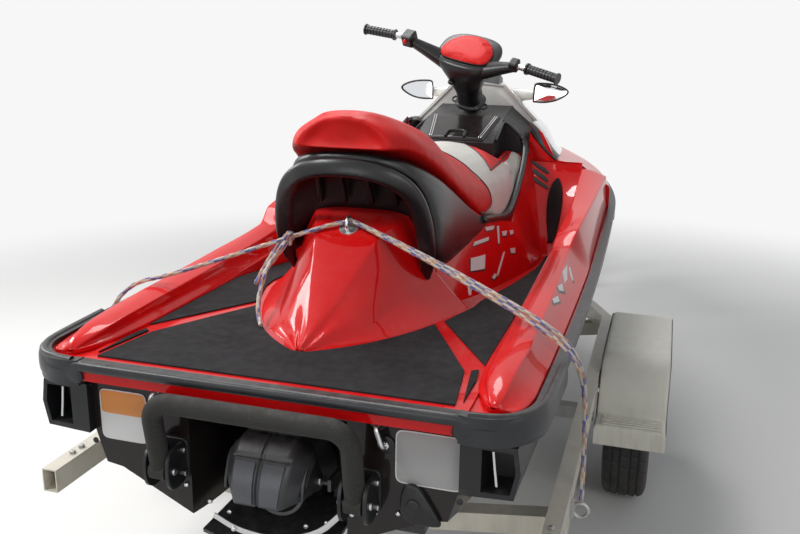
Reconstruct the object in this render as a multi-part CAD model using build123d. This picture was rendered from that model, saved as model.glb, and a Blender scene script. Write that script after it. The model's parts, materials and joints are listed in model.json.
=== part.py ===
from build123d import *
import math
import os

# A two-seat sit-down personal watercraft on its single-axle road trailer, in millimetres.
# Craft frame: +X to the bow, +Y to port, +Z up, zero at the stern edge of the deck and at keel level.
# Every solid is drawn in the craft frame and moved once, at export, so that the origin lies on the
# floor under the middle of the whole object.

# Overall places
KEEL_HEIGHT = 400          # keel above the floor
GROUND = -KEEL_HEIGHT      # floor level in the craft frame
FAR = 900                  # half width of cutting solids, beyond every piece
TALL = 1400                # height of cutting solids, above every piece

# Bond line between hull and deck: a long arc seen from the side
SHEER_LOW_X = -300
SHEER_LOW_Z = 424
SHEER_RADIUS = 30400

# Plan outline of the rubbing rail: x, half width, outward normal x, outward normal y
STERN_EDGE = (15, 0, -1, 0)
STERN_CORNER = (15, 430, -1, 0)
CORNER_BEND = (42, 548, -0.75, 0.66)
SIDE_START = (130, 588, 0, 1)
SIDE_MIDDLE = (1000, 602, 0, 1)
SHOULDER = (1841, 591, 0.02, 1)
BOW_SIDE = (2560, 440, 0.42, 0.91)
BOW_CORNER = (2950, 205, 0.66, 0.75)
BOW_TIP = (3060, 0, 1, 0)

RAIL_DEPTH = 26            # rubbing rail, inwards from the outline
RAIL_UNDER = 24            # rail below the bond line
RAIL_OVER = 16             # rail above the bond line
CORNER_UNDER, CORNER_OVER = 40, 20
CORNER_RAIL_END = 330      # where the moulded stern corner ends and the side rail begins
RAIL_NOSE = 1860           # where the side rail ends at the shoulder
FLANGE = 8                 # deck flange on the bond line

# Hull sections: x, keel z, chine half width, chine z, side top half width
TRANSOM_X = 60
HULL_SECTIONS = (
    (TRANSOM_X, 0, 405, 185, 468),
    (800, 0, 470, 185, 545),
    (1700, 8, 485, 195, 565),
    (2300, 70, 405, 250, 500),
    (2720, 245, 245, 370, 345),
    (3000, 470, 45, 515, 110),
)
CHINE_FLAT = 42            # width of the flat outside the V bottom
SIDE_TOP_DROP = 34         # top of the hull side under the bond line
HULL_WALL = 14
BULKHEAD = (1165, 1190)    # rear and front face of the wall behind the engine

# Jet pump, on the centreline
JET_Z = 165                # axis of the pump above keel level
TUNNEL_HALF = 186
TUNNEL_TOP = 375
TUNNEL_END = 470
PUMP_BORE = 78             # radius
PUMP_WALL = 9
PUMP_REAR, PUMP_FRONT = 210, 462
IMPELLER_X = 370
IMPELLER_GAP = 4
NOZZLE_PIVOT_X = 175
NOZZLE_REAR = 78
NOZZLE_RADIUS = 56
NOZZLE_WALL = 6
GATE_PIVOT = (130, 185)    # x, z of the gate hinge
GATE_RADIUS = 122
GATE_WALL = 8
GATE_HALF = 112
GATE_ARC = (-6, 96)        # degrees above the level line aft of the hinge
SHAFT_RADIUS = 14
SHAFT_FRONT = 1186
ENGINE = (1330, 1880, 165, 335)    # rear x, front x, half width, top z
STATOR = (236, 316, 30)    # rear x, front x, hub radius
BLADES = 4
IMPELLER_PLAY = 0.08
NOZZLE_PLAY = 0.08
NOZZLE_RATIO = 0.75        # nozzle turn for each degree of handlebar
PIN_PLAY = 0.08
INTAKE_HALF = 82
INTAKE_REAR, INTAKE_FRONT = 640, 1130
RIDE_PLATE = 8             # thickness
RIDE_PLATE_Z = 24          # underside in the middle

# Deck: the floor line of platform and footwells, x and z
PLATFORM_Z = 440
PLATFORM_END = 760
FOOTWELL_Z = 352
FOOTWELL_LOW_X = 1560
FOOTWELL_END = 1900
DECK_WALL = 12
TRAY_HALF = 442            # outside of the tray between the bolsters
STERN_LIP_Z = 398          # bottom of the lip along the stern
MAT = 4                    # traction mat thickness

# Tail hump sections: x, base half width, shoulder half width, shoulder z, top half width, top z
HUMP_TIP = 246
HUMP_SECTIONS = (
    (HUMP_TIP, 12, 10, 442, 6, 445),
    (400, 168, 120, 470, 42, 530),
    (560, 248, 168, 505, 92, 660),
    (700, 292, 203, 528, 150, 697),
)
# Pedestal sections under the seat: the same columns
PEDESTAL_SECTIONS = (
    (700, 292, 203, 528, 150, 697),
    (1060, 328, 236, 590, 205, 760),
    (1420, 346, 250, 600, 225, 760),
    (1900, 352, 258, 700, 235, 790),
)
# Underside of the seat seen from the side, x and z
SEAT_LINE = ((500, 697), (900, 697), (1130, 598), (1425, 532), (1650, 602), (1900, 735))
SEAT_FRONT = 1860
SEAT_GAP = 0.3

# Seat envelope: x, lower half width, waist half width, brow y and z, shoulder half width, shoulder z, crest z
SEAT_SECTIONS = (
    (500, 150, 160, 122, 866, 80, 935, 962),
    (560, 190, 206, 156, 862, 106, 925, 960),
    (640, 218, 236, 188, 845, 128, 912, 952),
    (900, 232, 250, 212, 745, 138, 830, 872),
    (1200, 246, 240, 216, 705, 142, 765, 795),
    (1640, 252, 238, 216, 676, 150, 738, 778),
    (1860, 256, 236, 218, 690, 150, 740, 790),
)
# Lower edge of the rear seat cushion, then the rear face of the black shell under it, x and z
CUSHION_LINE = ((440, 980), (513, 965), (533, 864), (640, 842), (800, 760), (960, 672), (1060, 628), (1130, 598))
SHELL_REAR = ((640, 505), (668, 690), (604, 840))
HANDLE_RADIUS = 18
SEAT_NOTCH_HALF = 152
SEAT_NOTCH_X = 1660

# Bolsters and flanks beside the footwells:
# x, inner base y, inner top y, inner top z, outer top y, outer top z
BOLSTER_SECTIONS = (
    (72, 474, 480, 447, 500, 449),
    (180, 432, 448, 478, 512, 482),
    (330, 428, 446, 484, 520, 490),
    (760, 430, 448, 502, 518, 512),
    (1080, 430, 450, 522, 512, 536),
    (1180, 430, 456, 560, 526, 580),
    (1500, 422, 462, 600, 540, 612),
    (FOOTWELL_END, 372, 450, 668, 548, 640),
)
BOLSTER_STEP = 5           # sections behind the step

# Upper body forward of the footwells:
# x, half width at the bond line, then y and z of flank, shoulder, valley, cowl and ridge
BODY_SECTIONS = (
    (FOOTWELL_END, 590, 560, 600, 452, 675, 352, 690, 296, 790, 190, 872),
    (2150, 570, 530, 585, 430, 640, 335, 682, 278, 785, 92, 968),
    (2500, 480, 448, 595, 355, 640, 275, 672, 222, 768, 80, 868),
    (2820, 320, 286, 615, 220, 645, 172, 662, 138, 715, 55, 752),
    (3040, 84, 65, 628, 52, 638, 44, 644, 32, 652, 14, 660),
)
BODY_WALL = 10
HOOD_LINE = ((1880, 862), (1960, 720), (2030, 688), (3060, 628))
HOOD_WALL = 7
HOOD_SEAT = 0.3            # hood over its joint line
HOOD_GAP = 5               # hood behind the nose and round the console
HOOD_NOSE = 2995           # front edge of the hood, ahead of which the nose is part of the body
HOOD_HINGE = (2993, 692, 4, 60)    # x, z, barrel radius, half length
BIN = (2110, 2620, 190, 560)   # rear x, front x, half width, floor z
BIN_WALL = 6

# Console round the steering column
CONSOLE_REAR, CONSOLE_FRONT = 1665, 2060
CONSOLE_HALF = 148
CONSOLE_WING = 246
CONSOLE_BASE = 600
LID_REAR = (1676, 773)
LID_FRONT = (1872, 846)
LID_REAR_HALF, LID_FRONT_HALF = 108, 138
LID_THICK = 9
LID_BARREL = (4, 60)       # radius and half length of the lid's hinge barrel
LID_PLAY = 0.1
LID_SEAT = 0.3             # lid over console face
GLOVE_BOX = (1706, 1842, 92, 640)   # rear x, front x, half width, floor z
COLUMN_FOOT = (1934, 896)  # x and z of the foot of the steering neck, on its axis
STEERING_TILT = 41.2       # axis leans back
STEERING_TURN = -17.7      # bars as parked
COLUMN_RADIUS = 13
COLUMN_PLAY = 0.08
BAR_RADIUS = 11
BAR_HALF = 404
BAR_HEIGHT = 286           # grips above the neck foot, along the axis
BAR_SETBACK = -36          # grips behind the axis
GRIP_LENGTH = 128
GRIP_RADIUS = 17
# Neck and bar cover sections up the axis: height, rear x, front x, half width
NECK_SECTIONS = ((0, -44, 44, 52), (95, -48, 62, 60), (165, -54, 92, 88), (212, -46, 138, 128), (226, -30, 132, 118))
PAD_LIFT = 0.3
PAD_THICK = 20

# Mirrors on the hood
MIRROR_X = 2150
MIRROR_INNER, MIRROR_TIP = 215, 361
MIRROR_Z = 928
MIRROR_HALF = 38
MIRROR_DEPTH = 46
GLASS_THICK = 3

# Boarding step on the transom
STEP_PIVOT = (2, 225)      # x and z
STEP_HALF = 225
STEP_TOP = 396
STEP_LEAN = 27             # the cross tube stands this far behind the pivot
STEP_RADIUS = 22
STEP_BEND = 48
STEP_PIN = 7

# Trailer
WHEEL_X = 1430
TYRE_RADIUS = 265
TYRE_WIDTH = 150
TRACK_HALF = 720
RIM_RADIUS = 152
HUB_BORE = 21
HUB_PLAY = 0.08
RAIL_Y = 600
RAIL_TUBE = (40, 60, 3)    # width, height, wall
RAIL_TOP = 115
RAIL_REAR = 90
RAIL_BEND = 1780
RAIL_MEET = (2960, 52)
DRAWBAR = (2760, 4080, 30, 4)    # rear x, front x, half width, wall
CROSSBARS = (400, 1900)
CROSSBAR_WIDTH = 50
AXLE_SQUARE = 45
SPRING_HALF = 300
SPRING_WIDTH = 45
FENDER = (1024, 1836, TRACK_HALF - 96, TRACK_HALF + 116, 2 * TYRE_RADIUS + GROUND + 45, 8, -58, 5)
# rear x, front x, inner y, outer y, top z, step z, lip z, wall
BUNK = (180, 1925, 280, 90, 40)  # rear x, front x, middle y, width, thickness
COUPLER_X = 4262
COUPLER_NOSE = 4310
BALL_RADIUS = 25.5
BALL_Z = 42
WINCH_POST_X = 3225
JACK_X, JACK_Y = 3840, -78
ROPE_RADIUS = 6

# Lashing rope over the stern, from the starboard rail through the towing eye to the port rail
HOOK_X, HOOK_Z = 410, 60   # middle of the rings on the rails
TOW_EYE = (566, 676)       # x and z of the towing ring
TOW_RING = (17, 4.5)       # ring radius and bar radius
ROPE = ((HOOK_X, -644, HOOK_Z + 29.3), (396, -643, 330), (380, -622, 430), (376, -588, 477), (390, -520, 515),
        (424, -400, 563), (492, -200, 632), (566, -14, TOW_EYE[1] + 6.2), (566, 14, TOW_EYE[1] + 6.2),
        (530, 150, 636), (462, 470, 520), (436, 552, 503), (424, 603, 462), (418, 633, 410), (412, 643, 300),
        (HOOK_X, 644, HOOK_Z + 29.3))
ROPE_KNOT = (530, 152, 634)
ROPE_TAIL = (ROPE_KNOT, (470, 178, 590), (420, 186, 520), (384, 176, 464), (352, 150, 450))

REAR_MOST = STEP_PIVOT[0] - STEP_LEAN - STEP_RADIUS
ROW_SHIFT = Location((-(REAR_MOST + COUPLER_NOSE) / 2, 0, KEEL_HEIGHT))


def sheer(x):
    """Height of the bond line at x."""
    return SHEER_LOW_Z + SHEER_RADIUS - math.sqrt(SHEER_RADIUS**2 - (x - SHEER_LOW_X) ** 2)


def side_prism(points, half=FAR, y=0):
    """Side profile of x, z corners carried across, half on each side of y."""
    face = make_face(Polyline(*[(x, y, z) for x, z in points], close=True))
    return extrude(face, amount=half, dir=(0, 1, 0), both=True)


def plan_prism(points, low, high):
    """Plan polygon of x, y corners between two heights."""
    face = make_face(Polyline(*[(x, y, low) for x, y in points], close=True))
    return extrude(face, amount=high - low, dir=(0, 0, 1))


def cross_prism(points, rear, front):
    """Cross-section polygon of y, z corners between two x values."""
    face = make_face(Polyline(*[(rear, y, z) for y, z in points], close=True))
    return extrude(face, amount=front - rear, dir=(1, 0, 0))


def block(x0, x1, y0, y1, z0, z1):
    """Box between two corners."""
    return Pos((x0 + x1) / 2, (y0 + y1) / 2, (z0 + z1) / 2) * Box(x1 - x0, y1 - y0, z1 - z0)


def rod(start, end, radius):
    """Round bar between two points."""
    start, end = Vector(*start), Vector(*end)
    return Part() + Solid.make_cylinder(radius, (end - start).length, Plane(start, z_dir=(end - start)))


def tube(points, radius, bends):
    """Round bar along straight runs with rounded corners; bends is one radius or a list."""
    path = FilletPolyline(*points, radius=bends)
    start = Plane(path @ 0, z_dir=path % 0)
    return sweep(start * Circle(radius), path=path)


def mirrored(shape):
    """The same piece on the other side."""
    return mirror(shape, about=Plane.XZ)


def both_sides(shape):
    """A port piece together with its starboard mirror."""
    return shape + mirrored(shape)


def half_section(x, points):
    """Closed section at x from y, z points on the port side, listed from the bottom to the top."""
    port = [(x, y, z) for y, z in points]
    starboard = [(x, -y, z) for y, z in reversed(points) if y > 0]
    return make_face(Polyline(*port, *starboard, close=True))


def bond_solid(above, lift=0):
    """Everything above, or below, the bond line raised by lift."""
    xs = (-200, 1500, 3300)
    arc = ThreePointArc(*[(x, 0, sheer(x) + lift) for x in xs])
    end = TALL if above else GROUND
    rim = Polyline((xs[2], 0, sheer(xs[2]) + lift), (xs[2], 0, end), (xs[0], 0, end),
                   (xs[0], 0, sheer(xs[0]) + lift))
    return extrude(make_face([arc, rim]), amount=FAR, dir=(0, 1, 0), both=True)


def outline_solid(inset, low=GROUND, high=TALL):
    """Plan outline drawn in by inset, between two heights."""
    def at(point, side=1):
        x, y, normal_x, normal_y = point
        return (x - inset * normal_x, side * (y - inset * normal_y if y else 0), low)

    edges = []
    for side in (1, -1):
        edges += [
            Line(at(STERN_EDGE), at(STERN_CORNER, side)),
            ThreePointArc(at(STERN_CORNER, side), at(CORNER_BEND, side), at(SIDE_START, side)),
            ThreePointArc(at(SIDE_START, side), at(SIDE_MIDDLE, side), at(SHOULDER, side)),
            ThreePointArc(at(SHOULDER, side), at(BOW_SIDE, side), at(BOW_CORNER, side)),
        ]
    edges.append(ThreePointArc(at(BOW_CORNER), at(BOW_TIP), at(BOW_CORNER, -1)))
    return extrude(make_face(edges), amount=high - low, dir=(0, 0, 1))


def hull_loft(inset=0):
    """V-bottomed hull from its sections, each drawn in by inset."""
    sections = []
    for x, keel, chine_y, chine_z, side_y in HULL_SECTIONS:
        lift = inset * 1.15
        top = sheer(x) - SIDE_TOP_DROP
        sections.append(half_section(x, [
            (0, keel + lift),
            (max(chine_y - CHINE_FLAT - inset, 4), chine_z - 6 + lift * 0.7),
            (max(chine_y - inset, 6), chine_z + lift * 0.5),
            (max(side_y - inset, 8), top),
            (max(side_y + 120 - inset, 12), top + 22),
            (max(side_y + 120 - inset, 14), TALL),
        ]))
    return loft(sections)


def above_floor(drop, half, end=FOOTWELL_END):
    """Everything above the deck floor line lowered by drop."""
    line = [(-100, PLATFORM_Z - drop), (PLATFORM_END, PLATFORM_Z - drop),
            (FOOTWELL_LOW_X, FOOTWELL_Z - drop), (end, FOOTWELL_Z - drop)]
    return side_prism(line + [(end, TALL), (-100, TALL)], half)


def duct(grow=0):
    """Water way from the grate in the bottom up to the pump, grown by a wall."""
    return side_prism([(TUNNEL_END - 1, JET_Z - PUMP_BORE - grow), (TUNNEL_END - 1, JET_Z + PUMP_BORE + grow),
                       (TUNNEL_END + 130 + grow, JET_Z + PUMP_BORE + grow), (INTAKE_FRONT + 2 * grow, -20),
                       (INTAKE_REAR - 2 * grow, -20)], INTAKE_HALF + grow)


def hull():
    """Hull moulding with pump tunnel, intake and hollow engine bay."""
    body = hull_loft() & bond_solid(False) & outline_solid(RAIL_DEPTH)
    body -= above_floor(DECK_WALL, TRAY_HALF, FOOTWELL_END + DECK_WALL)
    body -= block(BIN[0] - BIN_WALL, BIN[1] + BIN_WALL, -BIN[2] - BIN_WALL, BIN[2] + BIN_WALL, BIN[3] - BIN_WALL, TALL)
    room = hull_loft(HULL_WALL) & outline_solid(RAIL_DEPTH + HULL_WALL)
    stern = room & block(TRANSOM_X + HULL_WALL, BULKHEAD[0], -FAR, FAR, GROUND, TALL)
    stern -= block(0, TUNNEL_END + HULL_WALL, -TUNNEL_HALF - HULL_WALL, TUNNEL_HALF + HULL_WALL, GROUND,
                   TUNNEL_TOP + HULL_WALL)
    stern -= duct(HULL_WALL) + rod((INTAKE_REAR, 0, JET_Z), (BULKHEAD[0], 0, JET_Z), SHAFT_RADIUS + HULL_WALL)
    body -= stern + (room & block(BULKHEAD[1], 2700, -FAR, FAR, GROUND, TALL))
    body -= block(0, TUNNEL_END, -TUNNEL_HALF, TUNNEL_HALF, GROUND, TUNNEL_TOP)
    body -= duct()
    return body - rod((INTAKE_REAR, 0, JET_Z), (BULKHEAD[1] + 10, 0, JET_Z), SHAFT_RADIUS + 3)


def deck():
    """Rear platform, footwell trays, stern lip and the flange on the bond line."""
    tray = above_floor(DECK_WALL, TRAY_HALF, FOOTWELL_END + DECK_WALL)
    platform = side_prism([(-100, GROUND), (PLATFORM_END, GROUND), (PLATFORM_END, PLATFORM_Z), (-100, PLATFORM_Z)])
    tray &= bond_solid(False, FLANGE) + platform
    tray -= above_floor(0, TRAY_HALF - DECK_WALL)
    flange = bond_solid(True) & bond_solid(False, FLANGE)
    flange &= block(-100, FOOTWELL_END + DECK_WALL, -FAR, FAR, GROUND, TALL)
    flange -= block(-200, FOOTWELL_END + DECK_WALL, -TRAY_HALF, TRAY_HALF, GROUND, TALL)
    shell = (tray + flange) & outline_solid(RAIL_DEPTH)
    skirt = outline_solid(RAIL_DEPTH) & block(0, TRANSOM_X, -FAR, FAR, STERN_LIP_Z, PLATFORM_Z - DECK_WALL)
    lip = block(STERN_EDGE[0] + 4, STERN_EDGE[0] + RAIL_DEPTH, -STERN_CORNER[1], STERN_CORNER[1],
                STERN_LIP_Z, PLATFORM_Z - DECK_WALL - 1)
    return shell + skirt + lip


def rail_band(under, over):
    """Rubbing rail all round, between two heights about the bond line."""
    return (outline_solid(0) - outline_solid(RAIL_DEPTH)) & bond_solid(True, -under) & bond_solid(False, over)


def stern_trim():
    """Black edge along the stern between the corners."""
    y = STERN_CORNER[1] - 1
    return block(STERN_EDGE[0], STERN_EDGE[0] + RAIL_DEPTH, -y, y, PLATFORM_Z - DECK_WALL, PLATFORM_Z + MAT)


def stern_corner():
    """Rubber corner, deeper than the side rail, with a moulded groove."""
    region = block(0, CORNER_RAIL_END, STERN_CORNER[1], FAR, GROUND, TALL)
    groove = (outline_solid(-5) - outline_solid(4)) & bond_solid(True, -4) & bond_solid(False, 3)
    return (rail_band(CORNER_UNDER, CORNER_OVER) - groove) & region


def side_rail():
    """Side rubbing rail with its raised upper edge."""
    region = block(CORNER_RAIL_END + 1, RAIL_NOSE, 0, FAR, GROUND, TALL)
    cut = (outline_solid(-5) - outline_solid(7)) & bond_solid(False, -6)
    return (rail_band(RAIL_UNDER, RAIL_OVER) - cut) & region


def bow_bumper():
    """Rubber bumper round the bow, shoulder to shoulder."""
    region = block(RAIL_NOSE + 1, 3200, -FAR, FAR, GROUND, TALL)
    return rail_band(RAIL_UNDER, RAIL_OVER) & region


def section_loft(table, inset=0):
    """Loft of hump or pedestal sections, drawn in by inset: base, shoulder and top on each side."""
    sections = []
    for x, base, shoulder, shoulder_z, top, top_z in table:
        floor = PLATFORM_Z if table is HUMP_SECTIONS else FOOTWELL_Z
        sections.append(half_section(x, [(max(base - inset, 4), floor - 60), (max(base - inset, 4), floor),
                                         (max(shoulder - inset, 3), shoulder_z - inset / 2),
                                         (max(top - inset, 2), top_z - inset)]))
    return loft(sections)


def hump_loft():
    """Boat-tail form behind the seat, up to the pedestal."""
    return section_loft(HUMP_SECTIONS)


def tail_hump():
    """Hollow boat-tail fairing behind the seat."""
    room = section_loft(HUMP_SECTIONS, BODY_WALL) & block(HUMP_SECTIONS[1][0], HUMP_SECTIONS[-1][0] - BODY_WALL,
                                                          -FAR, FAR, GROUND, TALL)
    return (hump_loft() - room) & above_floor(0, FAR)


def seat_side(above, lift=0):
    """Everything above, or below, the underside of the seat."""
    line = [(x, z + lift) for x, z in SEAT_LINE]
    end = TALL if above else GROUND
    return side_prism(line + [(SEAT_LINE[-1][0], end), (SEAT_LINE[0][0], end)])


def glove_room(wall=0):
    """Room of the glove box, grown by wall on its sides and floor."""
    rear, front, half, floor = GLOVE_BOX
    return block(rear - wall, front + wall, -half - wall, half + wall, floor - wall, TALL)


def pedestal_form():
    """Outer form of the body between the footwells."""
    return section_loft(PEDESTAL_SECTIONS) & above_floor(0, FAR) & seat_side(False)


def centre_pedestal():
    """Hollow body between the footwells that carries the seat and takes the glove box."""
    room = section_loft(PEDESTAL_SECTIONS, BODY_WALL) & seat_side(False, -BODY_WALL)
    room &= block(HUMP_SECTIONS[-1][0] + BODY_WALL, FOOTWELL_END - BODY_WALL, -FAR, FAR, GROUND, TALL)
    return pedestal_form() - room - glove_room(BODY_WALL)


def seat_envelope():
    """Outer form of the seat with its black shell."""
    sections = []
    for x, low, waist, brow, brow_z, shoulder, shoulder_z, crest in SEAT_SECTIONS:
        sections.append(half_section(x, [(low, 500), (low, 560), (waist, min(680, brow_z - 30)), (brow, brow_z),
                                         (shoulder, shoulder_z), (0, crest)]))
    return loft(sections)


def seat():
    """Upholstered saddle, raised at the rear, with a notch for the glove box."""
    top = [(SEAT_FRONT, 500), (SEAT_FRONT, 990)]
    body = seat_envelope() & side_prism(list(CUSHION_LINE) + [(1130, 500)] + top)
    body &= seat_side(True, SEAT_GAP)
    body -= block(SEAT_NOTCH_X, FOOTWELL_END, -SEAT_NOTCH_HALF, SEAT_NOTCH_HALF, 500, TALL)
    return body


def seat_shell():
    """Black moulded shell under the rear of the seat, over hump and pedestal."""
    top = [(x, z - SEAT_GAP) for x, z in CUSHION_LINE[3:]]
    body = seat_envelope() & side_prism(list(SHELL_REAR) + top + [(1126, 560)])
    body -= hump_loft()
    body -= section_loft(PEDESTAL_SECTIONS) & seat_side(False)
    return body


def grab_handle():
    """Moulded hoop behind the seat, standing clear of the shell by a hand's width."""
    half = [(640, -194, 560), (594, -200, 668), (548, -160, 782), (516, -78, 822)]
    points = half + [(x, -y, z) for x, y, z in reversed(half)]
    return tube(points, HANDLE_RADIUS, [60, 60, 60, 60, 60, 60]) - seat_shell() - seat()


def bolster():
    """Port side ridge, low at the stern, with a step up into the flank."""
    def section(row):
        x, inner, inner_top, inner_z, outer_top, outer_z = row
        return make_face(Polyline((x, inner, sheer(x) - 60), (x, inner_top, inner_z), (x, outer_top, outer_z),
                                  (x, 592, sheer(x) + 10), (x, 592, sheer(x) - 60), close=True))

    rows = BOLSTER_SECTIONS
    body = loft([section(row) for row in rows[:BOLSTER_STEP]])
    body += loft([section(row) for row in rows[BOLSTER_STEP - 1:BOLSTER_STEP + 1]])
    body += loft([section(row) for row in rows[BOLSTER_STEP:]])
    body = body & bond_solid(True, FLANGE) & outline_solid(RAIL_DEPTH)
    return body - block(-100, PLATFORM_END, 0, TRAY_HALF, GROUND, PLATFORM_Z)


def body_loft(inset=0):
    """Upper body forward of the footwells."""
    sections = []
    for x, edge, *rest in BODY_SECTIONS:
        pairs = [(max(rest[i] - inset, 3), rest[i + 1] - inset) for i in range(0, len(rest), 2)]
        side = max(edge - inset, 6)
        points = [(side, sheer(x) - 30), (side, sheer(x) + 12)] + pairs + [(0, rest[-1] - inset + 8)]
        sections.append(half_section(x, points))
    return loft(sections)


def hood_side(above, lift=0):
    """Everything above, or below, the joint between hood and body."""
    line = [(x, z + lift) for x, z in HOOD_LINE]
    if above:
        return side_prism([(HOOD_LINE[0][0], TALL)] + line + [(HOOD_LINE[-1][0], TALL)])
    start = (HOOD_LINE[0][0] - 300, HOOD_LINE[0][1] + lift)
    return side_prism([start] + line + [(HOOD_LINE[-1][0], GROUND), (start[0], GROUND)])


def bin_room(wall=0):
    """Room of the stowage bin, grown by wall on its sides and floor."""
    return block(BIN[0] - wall, BIN[1] + wall, -BIN[2] - wall, BIN[2] + wall, BIN[3] - wall, TALL)


def front_body():
    """Red fore body with the stowage bin and the nose ahead of the hood."""
    region = hood_side(False) + block(HOOD_NOSE + HOOD_GAP, 3200, -FAR, FAR, GROUND, TALL)
    outer = body_loft() & region
    inner = body_loft(BODY_WALL) & block(FOOTWELL_END + 30, 2880, -FAR, FAR, GROUND, TALL)
    inner &= hood_side(False, -BODY_WALL)
    body = outer - inner
    body += (bin_room(BIN_WALL) & outer & block(0, 4000, -FAR, FAR, BIN[3] - BIN_WALL, TALL))
    body -= bin_room()
    body &= bond_solid(True)
    body &= outline_solid(RAIL_DEPTH)
    body -= block(FOOTWELL_END - 1, CONSOLE_FRONT, -CONSOLE_WING - 1, CONSOLE_WING + 1, CONSOLE_BASE, TALL)
    return body - block(FOOTWELL_END - 1, FOOTWELL_END + DECK_WALL, -FAR, FAR, GROUND, sheer(FOOTWELL_END) + FLANGE + 1)


def hood():
    """White hood over the bin, hollow underneath."""
    body = body_loft() & hood_side(True, HOOD_SEAT)
    body -= body_loft(HOOD_WALL) & block(1870, HOOD_NOSE - HOOD_WALL, -FAR, FAR, GROUND, TALL)
    body -= block(1800, CONSOLE_FRONT + HOOD_GAP, -CONSOLE_WING - HOOD_GAP, CONSOLE_WING + HOOD_GAP, GROUND, TALL)
    x, z, radius, half = HOOD_HINGE
    return (body & block(1800, HOOD_NOSE, -FAR, FAR, GROUND, TALL)) + rod((x, -half, z), (x, half, z), radius)


def mirror_plane():
    """Plane of the port mirror glass: local X outboard, local Y up, normal aft."""
    return Plane((MIRROR_X, (MIRROR_INNER + MIRROR_TIP) / 2, MIRROR_Z), x_dir=(0, 1, 0), z_dir=(1, 0, 0))


def mirror_face(inset):
    """D-shaped mirror outline with a pointed outer end."""
    half = (MIRROR_TIP - MIRROR_INNER) / 2 - inset
    high = MIRROR_HALF - inset
    root_low, root_high, tip = (-half, -high), (-half, high), (half, high * 0.2)
    return make_face([Line(root_low, root_high), ThreePointArc(root_high, (0, high * 0.98), tip),
                      ThreePointArc(tip, (half * 0.1, -high * 0.92), root_low)])


def mirror_housings():
    """White mirror shells on arms from the hood, both sides."""
    plane = mirror_plane()
    small = Pos(0, 0, MIRROR_DEPTH) * scale(mirror_face(0), 0.55)
    shell = loft([plane * mirror_face(0), plane * small])
    recess = extrude(plane * mirror_face(5), amount=GLASS_THICK + 1)
    arm = loft([Plane((MIRROR_X + 24, MIRROR_INNER + 30, MIRROR_Z - 8), z_dir=(0, 1, 0)) * Ellipse(16, 22),
                Plane((MIRROR_X + 44, 110, MIRROR_Z - 16), z_dir=(0, 1, 0)) * Ellipse(30, 26)])
    return both_sides(shell + arm - recess - body_loft())


def mirror_glasses():
    """Mirror glass in each housing."""
    plane = mirror_plane()
    glass = extrude(plane * Pos(0, 0, 0.7) * mirror_face(5.3), amount=GLASS_THICK)
    return both_sides(glass)


def gauge_pod():
    """Instrument on the rear of the hood."""
    pod = side_prism([(2072, 880), (2058, 958), (2096, 1000), (2150, 982), (2150, 880)], 84)
    return pod - body_loft()


def console():
    """Black console with the glove box and the foot of the steering column."""
    slope = (LID_FRONT[1] - LID_REAR[1]) / (LID_FRONT[0] - LID_REAR[0])
    rear_z = LID_REAR[1] - (LID_REAR[0] - CONSOLE_REAR) * slope
    ridge = [(CONSOLE_REAR, CONSOLE_BASE), (CONSOLE_REAR, rear_z), LID_FRONT, (1900, 852),
             (CONSOLE_FRONT, 878), (CONSOLE_FRONT, CONSOLE_BASE)]
    body = side_prism(ridge, CONSOLE_HALF)
    wing_rear, wing_front = SEAT_FRONT + 2, CONSOLE_FRONT
    wings = loft([
        half_section(wing_rear, [(CONSOLE_WING, CONSOLE_BASE), (CONSOLE_WING, 746), (CONSOLE_HALF, 838)]),
        half_section(wing_front, [(CONSOLE_WING, CONSOLE_BASE), (CONSOLE_WING, 792), (CONSOLE_HALF, 872)]),
    ])
    tub = glove_room(BODY_WALL) & body
    body += wings
    body = body - pedestal_form() + tub
    radius, half = LID_BARREL
    barrel = rod((LID_FRONT[0], -half - 1, LID_FRONT[1]), (LID_FRONT[0], half + 1, LID_FRONT[1]), radius + LID_PLAY)
    return body - glove_room() - steering_column() - barrel


def glove_box_lid():
    """Sloping lid, hinged along its front edge."""
    angle = math.degrees(math.atan2(LID_FRONT[1] - LID_REAR[1], LID_FRONT[0] - LID_REAR[0]))
    length = math.dist(LID_FRONT, LID_REAR)
    plane = Plane((LID_REAR[0], 0, LID_REAR[1]), x_dir=(math.cos(math.radians(angle)), 0, math.sin(math.radians(angle))),
                  z_dir=(-math.sin(math.radians(angle)), 0, math.cos(math.radians(angle))))
    face = make_face(Polyline((0, -LID_REAR_HALF), (length, -LID_FRONT_HALF), (length, LID_FRONT_HALF),
                              (0, LID_REAR_HALF), close=True))
    lid = extrude(plane * Pos(0, 0, LID_SEAT) * face, amount=LID_THICK)
    latch = plane * Pos(6, 0, LID_SEAT + LID_THICK) * Box(26, 44, 6, align=(Align.MIN, Align.CENTER, Align.MIN))
    radius, half = LID_BARREL
    return lid + latch + rod((LID_FRONT[0], -half, LID_FRONT[1]), (LID_FRONT[0], half, LID_FRONT[1]), radius)


def steering_place():
    """Where the steering stands: its foot, leaning back, turned as parked."""
    return Pos(COLUMN_FOOT[0], 0, COLUMN_FOOT[1]) * Rot(0, -STEERING_TILT, 0)


def steering_column():
    """Fixed boss and pin that the steering turns on."""
    boss = Pos(0, 0, -90) * Cylinder(36, 84, align=(Align.CENTER, Align.CENTER, Align.MIN))
    pin = Pos(0, 0, -90) * Cylinder(COLUMN_RADIUS, 220, align=(Align.CENTER, Align.CENTER, Align.MIN))
    return steering_place() * (boss + pin)


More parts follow.
